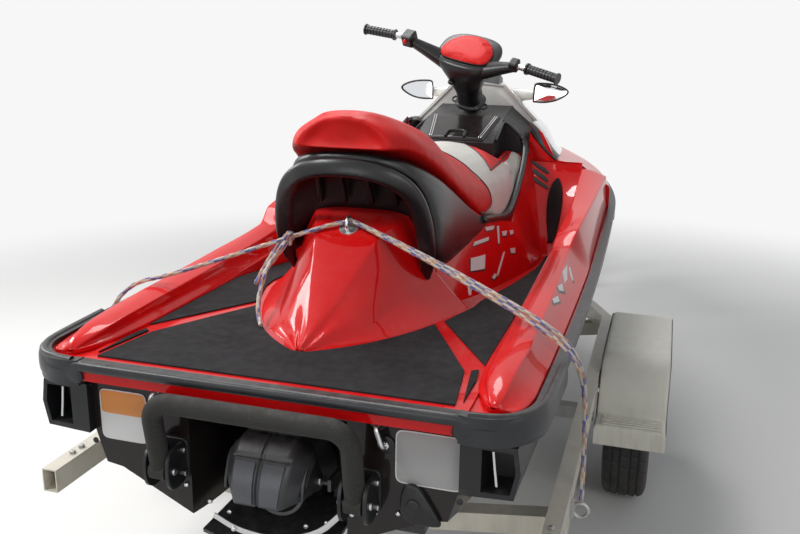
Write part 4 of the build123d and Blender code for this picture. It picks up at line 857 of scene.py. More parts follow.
SLOTS = {Finishes.FENDER: "fender_plastic", Finishes.GALVANISED: "galvanised", Finishes.CHROME: "stainless_steel"}
SLOTS |= dict.fromkeys((Finishes.MOULDED, Finishes.PANEL, Finishes.SATIN), "matte_black_plastic")
SLOTS |= dict.fromkeys((Finishes.BUCKET, Finishes.TABS), "cast_aluminium")
SLOTS |= dict.fromkeys((Finishes.PLATE_WHITE, Finishes.PLATE_ORANGE, Finishes.PLATE_BRIGHT, Finishes.PLATE_GREY),
                       "gelcoat_white")

DRESS = {
    Finishes.RED: "deck tail_hump centre_pedestal front_body bolsters",
    Finishes.WHITE: "mirror_housings",
    Finishes.BLACK: "hull glove_box_lid",
    Finishes.COWL: "front_hood",
    Finishes.MOULDED: "seat_shell grab_handle gauge_pod console steering_neck switch_pod sponsons",
    Finishes.RUBBER: "handle_grips stern_trim bow_bumper bow_stop stern_corners side_rails",
    Finishes.MAT: "deck_mats",
    Finishes.FOAM: "boarding_step",
    Finishes.VINYL_RED: "handlebar_pad seat",
    Finishes.CASTING: "pump_housing steering_nozzle reverse_gate ride_plate intake_grate",
    Finishes.STAINLESS: "steering_column handlebar impeller step_brackets tow_eye tie_down_eyes",
    Finishes.GALVANISED: "lashing_hooks axle coupler parking_jack leaf_springs fender_stays",
    Finishes.CREAM: "drawbar crossbars winch_post frame_rails rim_left rim_right",
    Finishes.ENGINE: "engine_block",
    Finishes.CARPET: "bunks lashing_rope",
    Finishes.FENDER: "fenders",
    Finishes.TYRE: "tyre_left tyre_right",
    Finishes.GLASS: "mirror_glasses",
}


def dress_nodes(nodes: dict[str, bpy.types.Object]) -> None:
    """Gives every carried-over node its finish."""
    for finish, names in DRESS.items():
        for name in names.split():
            materials = nodes[name].data.materials
            for index in range(len(materials)):
                materials[index] = finish.material


@dataclass
class Studio:
    """Camera at the photograph's place, soft lamps and a plain pale floor."""

    place: tuple = (-1467.0, -770.0, 1139.0)
    yaw: float = 17.24
    pitch: float = -14.89
    roll: float = 0.75
    lens: float = 38.77
    lamps: tuple = (("key", (-3.4, 3.0, 4.4), (-1.5, 0.0, 0.8), (1.3, 1.0), 150),
                    ("fill", (-4.6, -3.2, 2.6), (-1.2, 0.0, 0.8), (2.4, 1.6), 42),
                    ("over", (0.6, 1.2, 4.6), (-0.6, 0.0, 0.9), (2.2, 1.4), 95),
                    ("side", (-0.75, 3.6, 2.7), (-1.7, 0.06, 0.93), (0.7, 1.5), 48),
                    ("low", (-5.4, 0.6, 1.5), (-2.0, 0.0, 0.6), (1.6, 1.0), 20))
    light: Colour = (0.24, 0.252, 0.27)
    floor_colour: Colour = (0.80, 0.79, 0.77)
    white: Colour = (0.93, 0.93, 0.93)
    floor_half: float = 30000.0
    fade: tuple[float, float] = (1.9, 4.6)

    def camera(self) -> None:
        """Stands the camera where the photograph was taken."""
        yaw, pitch, roll = (math.radians(v) for v in (self.yaw, self.pitch, self.roll))
        ahead = np.array([math.cos(yaw) * math.cos(pitch), math.sin(yaw) * math.cos(pitch), math.sin(pitch)])
        right = np.array([math.sin(yaw), -math.cos(yaw), 0.0])
        top = np.cross(right, ahead)
        right, top = math.cos(roll) * right + math.sin(roll) * top, -math.sin(roll) * right + math.cos(roll) * top
        data = bpy.data.cameras.new("camera")
        data.lens, data.sensor_width, data.sensor_fit, data.clip_end = self.lens, 36.0, "HORIZONTAL", 200.0
        camera = linked("camera", data)
        turn = Matrix(np.stack([right, top, -ahead], axis=1).tolist()).to_4x4()
        camera.matrix_world = Matrix.Translation(Vector(to_row(self.place))) @ turn
        bpy.context.scene.camera = camera

    def lamp(self, name: str, place: Colour, aim: Colour, size: tuple[float, float], watts: float) -> None:
        """One rectangular soft lamp aimed at a point.

        Args:
            name: Its name.
            place: Where it stands, in metres.
            aim: Point that it faces.
            size: Its width and height.
            watts: Its power.
        """
        data = bpy.data.lights.new(name, "AREA")
        data.shape, data.size, data.size_y, data.energy = "RECTANGLE", *size, watts
        toward = (Vector(aim) - Vector(place)).to_track_quat("-Z", "Y")
        linked(name, data).matrix_world = Matrix.Translation(Vector(place)) @ toward.to_matrix().to_4x4()

    def floor_material(self) -> bpy.types.Material:
        """Plain pale floor that turns into the white of the background with distance."""
        made, t, shader = new_material("studio_floor")
        distance = t.node("ShaderNodeVectorMath", {0: t.place()}, operation="LENGTH").outputs["Value"]
        far, black = t.ramp(distance, *self.fade), (0.0, 0.0, 0.0)
        for key, value in {"Base Color": t.mix(far, self.floor_colour, black),
                           "Emission Color": t.mix(t.times(far, t.seen()), black, self.white),
                           "Emission Strength": 1.0, "Specular IOR Level": 0.0, "Roughness": 0.8}.items():
            t.put(shader[key], value)
        return made

    def build(self) -> None:
        """Makes the whole studio."""
        scene = bpy.context.scene
        scene.view_settings.view_transform = "Standard"
        self.camera()
        scene.world = bpy.data.worlds.new("studio")
        scene.world.use_nodes = True
        background = scene.world.node_tree.nodes["Background"].inputs
        t = Tree(scene.world.node_tree)
        t.put(background["Color"], t.mix(t.seen(), self.light, self.white))
        background["Strength"].default_value = 1.0
        for lamp in self.lamps:
            self.lamp(*lamp)
        y, x = lattice((-self.floor_half, self.floor_half, 2), (-self.floor_half, self.floor_half, 2))
        floor = Shape().grid(xyz(x, y, -400.0)).piece("floor", None, outwards=False)
        floor.data.materials.append(self.floor_material())
        floor.parent = None


def baked(obj: bpy.types.Object) -> None:
    """Puts an object's modifiers into its mesh.

    Args:
        obj: The object.
    """
    graph = bpy.context.evaluated_depsgraph_get()
    mesh = bpy.data.meshes.new_from_object(obj.evaluated_get(graph))
    obj.modifiers.clear()
    obj.data = mesh


def spots(mesh: bpy.types.Mesh, what: str = "co") -> Array:
    """Numbers stored on a mesh's vertices.

    Args:
        mesh: The mesh.
        what: "co" for places in metres or "normal" for normals.

    Returns:
        Array (n, 3).
    """
    flat = np.empty(len(mesh.vertices) * 3)
    mesh.vertices.foreach_get(what, flat)
    return flat.reshape(-1, 3)


def smoothed(obj: bpy.types.Object, name: str) -> None:
    """Adds three passes of smoothing."""
    modifier = obj.modifiers.new(name, "SMOOTH")
    modifier.factor, modifier.iterations = 0.5, 3


def settle(obj: bpy.types.Object, pressure: float, reach: float) -> None:
    """Blows a closed form up as cloth.

    Args:
        obj: The form.
        pressure: Push from inside while the cloth settles.
        reach: Furthest that a point may move, in mm; undersides keep to a fifth of it.
    """
    start = spots(obj.data)
    allowed = np.interp(spots(obj.data, "normal")[:, 2:], [-0.7, 0.1], [0.2, 1.0]) * reach / 1000
    cloth = obj.modifiers.new("cloth", "CLOTH")
    cloth.settings.quality, cloth.settings.mass = 4, 0.3
    cloth.settings.use_pressure, cloth.settings.uniform_pressure_force = True, pressure
    cloth.settings.effector_weights.gravity = 0.0
    cloth.point_cache.frame_start, cloth.point_cache.frame_end = 1, 20
    for frame in range(1, 21):
        bpy.context.scene.frame_set(frame)
    moved = spots(obj.evaluated_get(bpy.context.evaluated_depsgraph_get()).data) - start
    obj.modifiers.clear()
    bpy.context.scene.frame_set(1)
    length = np.linalg.norm(moved, axis=1, keepdims=True)
    moved *= np.minimum(1.0, allowed / np.maximum(length, 1e-9))
    obj.data.vertices.foreach_set("co", (start + moved).ravel())
    obj.data.update()


def swell(obj: bpy.types.Object, finish: Finishes, stands_for: str, voxel: float, pressure: float,
          reach: float) -> None:
    """Turns a closed form into padded fabric.

    Args:
        obj: Closed form, a little smaller than the pad.
        finish: Its finish.
        stands_for: Node whose place it takes.
        voxel: Size of the even mesh, in mm.
        pressure: Push from inside while the cloth settles.
        reach: Furthest that a point may move, in mm.

    The mesh is evened out, blown up as cloth with its own stiffness for twenty frames without gravity, each
    point's way is cut off at its reach, and one subdivision follows.
    """
    remesh = obj.modifiers.new("even", "REMESH")
    remesh.mode, remesh.voxel_size = "VOXEL", voxel / 1000
    smoothed(obj, "ease")
    baked(obj)
    settle(obj, pressure, reach)
    smoothed(obj, "calm")
    finer = obj.modifiers.new("finer", "SUBSURF")
    finer.levels = finer.render_levels = 1
    baked(obj)
    obj.data.polygons.foreach_set("use_smooth", np.full(len(obj.data.polygons), True))
    obj.data.materials.clear()
    obj.data.materials.append(finish.material)
    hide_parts(stands_for)


def surface(obj: bpy.types.Object) -> BVHTree:
    """An object's faces, for laying things on them."""
    return BVHTree.FromPolygons([tuple(v) for v in spots(obj.data)], [tuple(p.vertices) for p in obj.data.polygons])


def landed(hits: list, lift: float) -> Array:
    """Places of hits on a surface in craft millimetres, lifted along its normals."""
    return to_craft([hit[0] for hit in hits]) + np.array([hit[1] for hit in hits]) * lift


def laid_on(obj: bpy.types.Object, line: Array, lift: float) -> Array:
    """Brings a line of craft points onto an object's surface, lifted along its normal."""
    tree = surface(obj)
    return landed([tree.find_nearest(Vector(p)) for p in to_row(line)], lift)


@dataclass
class Cushion:
    """Saddle of foam under vinyl: raised roll at the rear, waist in the middle, two horns beside the glove box.

    Sections run from the underside, round the side and over to the crest.
    """

    voxel: float = 9.0
    pressure: float = 4.0
    reach: float = 7.0
    piping: float = 2.4
    body: tuple = (
        (529, (38, 892), (82, 892), (90, 897), (82, 908), (56, 926), (32, 932), (10, 934)),
        (519, (48, 880), (104, 879), (114, 887), (106, 905), (74, 938), (44, 948), (14, 951)),
        (515, (58, 874), (112, 873), (124, 884), (118, 902), (82, 936), (46, 955), (15, 960)),
        (560, (75, 870), (150, 869), (158, 885), (141, 918), (96, 944), (50, 955), (16, 958)),
        (640, (90, 840), (184, 838), (195, 852), (186, 879), (140, 916), (80, 940), (20, 949)),
        (760, (100, 780), (202, 778), (213, 796), (207, 836), (160, 882), (90, 909), (20, 917)),
        (900, (100, 713), (216, 708), (225, 730), (213, 773), (150, 829), (80, 859), (20, 869)),
        (1050, (110, 638), (232, 634), (239, 656), (223, 720), (146, 793), (75, 819), (20, 829)),
        (1130, (110, 606), (238, 604), (242, 632), (221, 704), (143, 775), (72, 799), (20, 808)),
        (1200, (110, 590), (241, 588), (243, 640), (216, 698), (142, 762), (70, 785), (20, 792)),
        (1425, (110, 544), (246, 541), (244, 610), (216, 686), (146, 749), (70, 775), (20, 783)),
        (1640, (110, 606), (249, 606), (243, 640), (216, 676), (150, 735), (72, 765), (20, 773)),
        (1654, (110, 614), (245, 614), (238, 644), (210, 676), (146, 731), (70, 760), (20, 768)))
    horn: tuple = ((1590, (166, 640), (236, 632), (236, 650), (212, 676), (186, 706), (166, 726)),
                   (1665, (160, 620), (247, 618), (242, 644), (215, 678), (187, 711), (160, 733)),
                   (1760, (160, 652), (248, 650), (243, 676), (215, 689), (187, 714), (160, 735)),
                   (1846, (161, 694), (236, 692), (231, 716), (213, 727), (187, 732), (161, 736)))
    corner: tuple = ((1391, 201, 716), (1520, 198, 716), (1660, 194, 722), (1800, 189, 735))
    chevron: tuple = ((1650, 6, 782), (1600, 40, 778), (1530, 90, 766), (1450, 150, 740), (1391, 201, 712))
    roll: tuple = ((1062, 2, 826), (1085, 100, 800), (1150, 140, 780), (1190, 200, 730), (1245, 226, 655),
                   (1239, 240, 622), (1160, 242, 612), (1098, 240, 606))

    def colours(self, places: Array) -> Array:
        """Where the vinyl is red.

        Args:
            places: Points (n, 3).

        Returns:
            Signed distance in mm: over nought on the rear roll, which ends by distance out from the crest and then
            down the side, and inside the front chevron; under nought elsewhere.
        """
        x, y, z = places[:, 0], np.abs(places[:, 1]), places[:, 2]
        across = np.where(y < 205, y, 205 + np.maximum(0, 735 - z))
        seam = np.interp(across, [0, 100, 140, 200, 283, 316, 330, 345],
                         [1062, 1085, 1150, 1190, 1245, 1239, 1160, 1060])
        chevron = (x - np.interp(y, [0, 40, 200], [1650, 1600, 1391])) * 0.6
        insert = np.minimum(chevron, np.interp(x, [1391, 1800], [201, 190]) - y)
        return np.maximum((seam - x) * 0.8, np.where(x > 1300, np.minimum(insert, z - 640), -9.0))

    def build(self) -> None:
        """Makes the cushion, its piping and its pleats."""
        table = stations(self.horn)
        horn = cut_corners(through(table[:, 0, 0], table, np.linspace(1590, 1846, 24)), 1, closed=True)
        shape = Shape().solid(sections(self.body, 100, 1)).solid(horn).solid(horn * MIRROR)
        seat = shape.piece("seat_cushion", None, slot="upholstery")
        swell(seat, Finishes.SADDLE, "seat", self.voxel, self.pressure, self.reach)
        panel = self.colours(to_craft(spots(seat.data))).astype(np.float32)
        seat.data.attributes.new("panel", "FLOAT", "POINT").data.foreach_set("value", panel)
        trim, pleats = Shape(), Shape()
        for points in (self.corner, self.chevron, self.roll):
            for side in SIDES:
                path = laid_on(seat, eased(np.array(points) * [1, side, 1], 2, 90), 0.4)
                trim.tube(cut_corners(path, 1), self.piping, 8)
        trim.piece("seat_piping", Finishes.MOULDED, slot="upholstery")
        for step in (16, 30, 44):
            for side in SIDES:
                points = (np.array(self.chevron[2:]) + [step * 1.5, -step * 0.12, 0]) * [1, side, 1]
                radius = np.sin(np.linspace(0.1, 3.04, 50)) * 1.5 + 0.1
                pleats.tube(laid_on(seat, eased(points, 2, 50), -0.2), radius, 6)
        pleats.piece("seat_pleats", Finishes.VINYL_RED, slot="upholstery")


@dataclass
class Shell:
    """Satin black shell under the roll, hollow at the rear, and the flat hoop that stands behind it.

    Lines run round the shell from under the roll down to the hump and back inside, port half from rear to front.
    """

    lines: tuple = (
        ((556, 12, 866), (557, 66, 865), (574, 108, 855), (606, 150, 840),
         (710, 190, 790), (850, 206, 722), (1000, 221, 650), (1104, 232, 606)),
        ((529, 12, 858), (532, 76, 855), (554, 122, 846), (592, 164, 832),
         (705, 205, 780), (850, 221, 711), (1000, 234, 640), (1112, 241, 602)),
        ((533, 12, 830), (537, 78, 827), (559, 130, 815), (597, 180, 798),
         (702, 217, 744), (848, 231, 680), (1000, 239, 622), (1114, 243, 598)),
        ((560, 12, 820), (563, 76, 817), (580, 126, 804), (603, 190, 776),
         (700, 224, 718), (846, 236, 660), (1000, 242, 610), (1115, 245, 594)),
        ((640, 12, 800), (640, 76, 796), (632, 138, 776), (612, 206, 730),
         (699, 231, 680), (845, 240, 634), (1000, 245, 596), (1116, 246, 590)),
        ((658, 12, 740), (658, 90, 738), (646, 156, 716), (616, 219, 690),
         (698, 234, 640), (844, 243, 606), (1000, 247, 586), (1117, 247, 586)),
        ((672, 12, 690), (672, 110, 688), (652, 172, 640), (634, 216, 560),
         (700, 228, 540), (844, 240, 556), (1000, 247, 570), (1118, 249, 582)),
        ((700, 12, 700), (700, 90, 700), (690, 150, 660), (680, 190, 580),
         (720, 200, 560), (850, 214, 570), (1000, 225, 576), (1110, 234, 586)),
        ((720, 12, 800), (720, 60, 796), (710, 110, 780), (700, 150, 740),
         (740, 176, 700), (860, 196, 650), (1000, 215, 610), (1104, 228, 596)))
    hoop: tuple = ((650, 190, 528), (622, 196, 572), (600, 198, 640), (584, 192, 700), (562, 172, 764),
                   (534, 126, 806), (518, 66, 824), (514, 20, 828))

    def build(self) -> None:
        """Makes shell, its ribs and boss, and the hoop: a flattened band, wedge-shaped at its feet."""
        full = both(cut_corners(np.array(self.lines)[:, ::-1], 2))
        shape = Shape().solid(cut_corners(full.transpose(1, 0, 2), 2, closed=True))
        shape.piece("rear_shell", Finishes.SATIN, stands_for="seat_shell")
        ribs = Shape()
        for y in (-96, -34, 34, 96):
            path = eased([(596, y, 806), (618, y * 1.06, 770), (640, y * 1.1, 720)], 0, 12)
            ribs.bar(path, oval(7, 12, 12, 3.5), (-1.0, 0, 0.4))
        ribs.bolt((620, -150, 742), (-0.9, -0.2, 0.2), 17, 16, 3)
        ribs.piece("shell_ribs", Finishes.SATIN)
        count = 96
        from_foot = np.minimum(np.arange(count), np.arange(count)[::-1]) / 12.0
        taper = 0.34 + 0.66 * np.sin(np.clip(from_foot, 0, 1) * math.pi / 2)
        band = Shape().bar(eased(both(np.array(self.hoop)), 3, count), oval(24.0, 14.0, 28, 2.6), (-1.0, 0.0, 0.25),
                           np.stack([taper, np.sqrt(taper)], -1))
        band.piece("grab_hoop", Finishes.SATIN, stands_for="grab_handle")


@dataclass
class Hump:
    """Glossy boat tail: crowned top between soft creases, hollowed sides that run out to a point on the deck.

    Rows give x, then the base's half width, the shoulder's half width and height, and the top's.
    """

    rows: tuple = ((246, 12, 10, 442, 6, 445), (300, 64, 46, 451, 17, 470), (400, 168, 120, 470, 44, 532),
                   (480, 214, 146, 488, 66, 596), (560, 248, 168, 505, 92, 656), (640, 274, 188, 518, 122, 684),
                   (699, 292, 203, 528, 150, 696))

    def build(self) -> None:
        """Makes the hump as one ring surface with creased shoulders."""
        table = []
        for x, base, shoulder, shoulder_z, top, top_z in self.rows:
            side = (0.5 * (shoulder + top) + 5, 0.5 * (shoulder_z + top_z) + 4) if x > 260 else (8, 444)
            table.append((x, (base * 0.5, 426), (base, 426), (base, 437), (base - 3, 441.5),
                          (0.5 * (base + shoulder) - 2, 0.5 * (441 + shoulder_z) - 3), (shoulder + 2, shoulder_z - 1),
                          (shoulder - 1, shoulder_z + 3), side, (top + 5, top_z - 8), (top - 3, top_z),
                          (top * 0.45, top_z + 4)))
        Shape().solid(sections(table, 90, 2)).piece("boat_tail", Finishes.RED, stands_for="tail_hump")


@dataclass
class Bolsters:
    """Side mouldings beside the footwells: rounded ridge, scooped inner face, step up to the flank.

    Rows give x, the inner face's y, then y and z of the ridge's top and of its outer edge.
    """

    rows: tuple = ((70, 478, 484, 446, 498, 448), (96, 462, 472, 458, 506, 462), (180, 434, 452, 476, 512, 480),
                   (330, 426, 452, 483, 519, 488), (760, 428, 454, 500, 518, 510), (1080, 430, 456, 520, 512, 534),
                   (1180, 430, 460, 557, 526, 578), (1500, 422, 466, 597, 539, 610), (1898, 374, 454, 664, 547, 637))

    def build(self) -> None:
        """Makes both sides from one table of sections."""
        table = []
        for x, inner, top, top_z, outer, outer_z in self.rows:
            floor = float(np.interp(x, [760, 1560], [440, 352])) - 8
            edge = float(np.interp(x, [60, 72, 90, 130, 1000, 1841, 1900], [553, 560, 572, 588, 602, 591, 588])) - 28
            base = float(sheer(x)) + 9
            table.append((x, (inner, floor), (inner, floor + 12), (inner + 1, floor + 16),
                          (0.5 * (inner + top) + 6, 0.5 * (floor + top_z) + 2), (top - 1.5, top_z - 4),
                          (top - 0.5, top_z - 1), (top + 2, top_z + 1), ((top + outer) / 2, (top_z + outer_z) / 2 + 5),
                          (outer - 4, outer_z + 1.5), (outer - 0.5, outer_z), (outer + 1, outer_z - 3),
                          ((outer + edge) / 2 - 2, (outer_z + base) / 2 - 2), (edge - 3, base + 7), (edge, base + 1),
                          (edge - 4, base - 4)))
        half = stations(table)
        at = np.concatenate([np.linspace(70, 1060, 80), np.linspace(1066, 1200, 26), np.linspace(1212, 1898, 50)])
        shape = Shape().solid(cut_corners(through(half[:, 0, 0], half, at), 2, closed=True)).mirrored()
        shape.piece("side_bolsters", Finishes.RED, stands_for="bolsters")


@dataclass
class FootwellEnds:
    """Sweep from each footwell floor up to the fore body, with its three slots and the long pad."""

    slots: tuple = ((0.985, 0.83), (0.885, 0.73), (0.79, 0.64))

    def place(self, s: Array, t: Array, lift: float) -> Array:
        """Point of the port sweep.

        Args:
            s: Share from pedestal to bolster.
            t: Share from floor to top.
            lift: Distance that it stands off aft.

        Returns:
            Points in the craft frame.
        """
        z = 350 + 336 * t ** 0.85
        inner = np.interp(z, [350, 600, 700], [346, 256, 258])
        outer = np.interp(z, [350, 420, 600, 690], [392, 440, 455, 450])
        bow = np.sin(np.clip(s, 0, 1) * math.pi)
        x = 1690 + 205 * np.sin(np.clip(t, 0, 1) * math.pi / 2) ** 0.8 - 26 * (1 - bow) * (1 - 0.4 * t)
        return xyz(x - lift, inner + (outer - inner) * s, z + lift * 0.25)

    def patch(self, shape: Shape, s: Array, t: Array, low: float, high: float) -> None:
        """Adds a raised patch over given s and t grids."""
        shape.slab(self.place(s, t, high), self.place(s, t, low))

    def build(self) -> None:
        """Makes both sweeps, the slots and the pads."""
        sweep, slots, pads = Shape(), Shape(), Shape()
        t, s = lattice((0, 1, 50), (-0.03, 1.03, 40))
        self.patch(sweep, s, t, -5.0, 0.0)
        sweep.mirrored().piece("footwell_sweeps", Finishes.RED)
        u, v = lattice((0, 1, 24), (-1, 1, 7))
        width = 0.027 * np.sqrt(np.clip(1 - (2 * u - 1) ** 6, 0.02, 1))
        for top, low in self.slots:
            self.patch(slots, 0.02 + 0.36 * u, top + (low - top) * u + v * width, 0.5, 3.4)
        slots.mirrored().piece("vent_slots", Finishes.MOULDED)
        u, v = lattice((0, 1, 50), (-1, 1, 13))
        width = 0.17 * np.clip(np.sin(np.clip(u * 0.9 + 0.1, 0, 1) * math.pi) ** 0.6, 0.05, 1)
        self.patch(pads, 0.42 + 0.14 * u + v * width, 0.10 + 0.68 * u, 0.5, 6.0)
        pads.mirrored().piece("knee_pads", Finishes.MAT)


@dataclass
class CowlBand:
    """Dark band and bright edge where the cowl comes down beside the console to the flanks."""

    inner: tuple = ((1886, 252, 800), (1892, 268, 776), (1895, 290, 746), (1896, 322, 714), (1897, 352, 690))
    outer: tuple = ((1896, 250, 834), (1906, 274, 812), (1930, 299, 783), (1962, 328, 730), (1990, 356, 696))

    def build(self) -> None:
        """Makes the strip as a bowed surface between its two edges, closed behind."""
        inner, outer = eased(self.inner, 3, 40), eased(self.outer, 3, 40)
        v = np.linspace(0, 1, 12)[None, :, None]
        front = inner[:, None] * (1 - v) + outer[:, None] * v + np.array([-9.0, 3.0, 6.0]) * np.sin(v * math.pi)
        Shape().slab(front, front + [9.0, -4.0, -8.0]).mirrored().piece("cowl_bands", Finishes.PANEL)
        edge = Shape().bar(inner + [-3.0, 1.0, 0.0], oval(4.5, 3.5, 14), (1.0, 0.0, 0.3))
        edge.mirrored().piece("cowl_edges", Finishes.SATIN)


@dataclass
class Rope:
    """Braided lashing rope from rail to rail through the towing eye, doubled to starboard, with knot, loop and tail."""

    radius: float = 5.4
    braid: float = 30.0
    step: float = 1.7
    count: int = 20
    starboard: tuple = ((410, -644, 89.3), (396, -643, 330), (380, -622, 430), (376, -588, 477), (390, -520, 515),
                        (424, -400, 563), (492, -200, 632), (566, -14, 682.2))
    port: tuple = ((566, -14, 682.2), (566, 14, 682.2), (530, 150, 636), (462, 470, 520), (436, 552, 503),
                   (424, 603, 462), (418, 633, 410), (412, 643, 300), (410, 644, 89.3))
    knot: tuple = (530, 152, 634)
    tail: tuple = ((530, 152, 634), (470, 178, 590), (420, 186, 520), (384, 176, 464), (352, 150, 452))
    loop: tuple = ((536, 146, 636), (512, 166, 606), (470, 190, 560), (440, 203, 534), (452, 212, 526),
                   (488, 208, 556), (520, 188, 604), (536, 162, 640))
    palette: tuple = ((0.10, 0.12, 0.34), (0.62, 0.54, 0.44), (0.55, 0.47, 0.38),
                      (0.50, 0.27, 0.16), (0.60, 0.52, 0.42), (0.30, 0.22, 0.32))

    def followed(self, points: object) -> Array:
        """Fine points along the smooth NURBS line of a route.

        Args:
            points: The route in craft millimetres.

        Returns:
            Points (n, 3) in craft millimetres.
        """
        route = to_row(points)
        curve = bpy.data.curves.new("route", "CURVE")
        curve.dimensions, curve.resolution_u = "3D", 16
        spline = curve.splines.new("NURBS")
        spline.points.add(len(route) - 1)
        spline.points.foreach_set("co", np.concatenate([route, np.ones((len(route), 1))], axis=1).ravel())
        spline.order_u, spline.use_endpoint_u = 3, True
        carrier = linked("route", curve)
        bpy.context.view_layer.update()
        line = to_craft(spots(bpy.data.meshes.new_from_object(carrier)))
        bpy.data.objects.remove(carrier)
        return line

    def braided(self, line: Array, up: object) -> tuple[Array, Array]:
        """Tube over a line whose radius rises where either of two opposed sets of strands lies on top.

        Args:
            line: Its middle line.
            up: Direction across which its rings stand.

        Returns:
            Grid (n, m, 3) and the strand colour of each point, (n, m, 3).
        """
        length = np.linalg.norm(np.diff(line, axis=0), axis=1).sum()
        path = spread(line, int(length / self.step))
        rays = carried(path, oval(1.0, 1.0, self.count), up) - path[:, None]
        around = np.arange(self.count)[None, :] / self.count * TURN
        along = np.arange(len(path))[:, None] * self.step / self.braid * TURN
        one, two = 3 * around + along, 3 * around - along
        grid = path[:, None] + rays * (self.radius * (1 + 0.11 * np.maximum(np.cos(one), np.cos(two))))[..., None]
        first, second = (np.floor(angle / TURN + 0.5).astype(int) % 3 for angle in (one, two))
        return grid, np.array(self.palette)[np.where(np.cos(one) > np.cos(two), first, second + 3)]

    def strands(self, name: str, stands_for: str, *lines: tuple[Array, tuple]) -> None:
        """Makes one piece of rope.

        Args:
            name: Its name.
            stands_for: Node whose place it takes, or nothing.
            *lines: Middle lines with their own up directions.
        """
        shape, colours = Shape(), []
        for line, up in lines:
            grid, colour = self.braided(line, up)
            shape.solid(grid)
            colours += [colour.reshape(-1, 3), colour[0, :1], colour[-1, :1]]
        rope = shape.piece(name, Finishes.ROPE, stands_for=stands_for)
        layer = rope.data.color_attributes.new(name="braid", type="FLOAT_COLOR", domain="POINT")
        rgb = np.concatenate(colours)
        layer.data.foreach_set("color", np.concatenate([rgb, np.ones((len(rgb), 1))], 1).astype(np.float32).ravel())

    def build(self) -> None:
        """Makes the runs, the knot with its loop, and the tail."""
        across, along = (1, 0, 0), (0, 1, 0)
        bulge = np.sin(np.linspace(0, math.pi, len(self.starboard)))[:, None]
        twin = np.array(self.starboard) + bulge * [9, 0, 13]
        self.strands("rope_starboard", "lashing_rope", (self.followed(self.starboard), across),
                     (self.followed(twin), across))
        self.strands("rope_port", "", (self.followed(self.port), across))
        turn = np.linspace(0, TURN, 90)
        trefoil = 5.2 * xyz(np.sin(turn) + 2 * np.sin(2 * turn), -np.sin(3 * turn), np.cos(turn) - 2 * np.cos(2 * turn))
        self.strands("rope_knot", "", (trefoil + self.knot, (0.2, 1.0, 0.1)), (self.followed(self.loop), along))
        self.strands("rope_tail", "", (self.followed(self.tail), along))


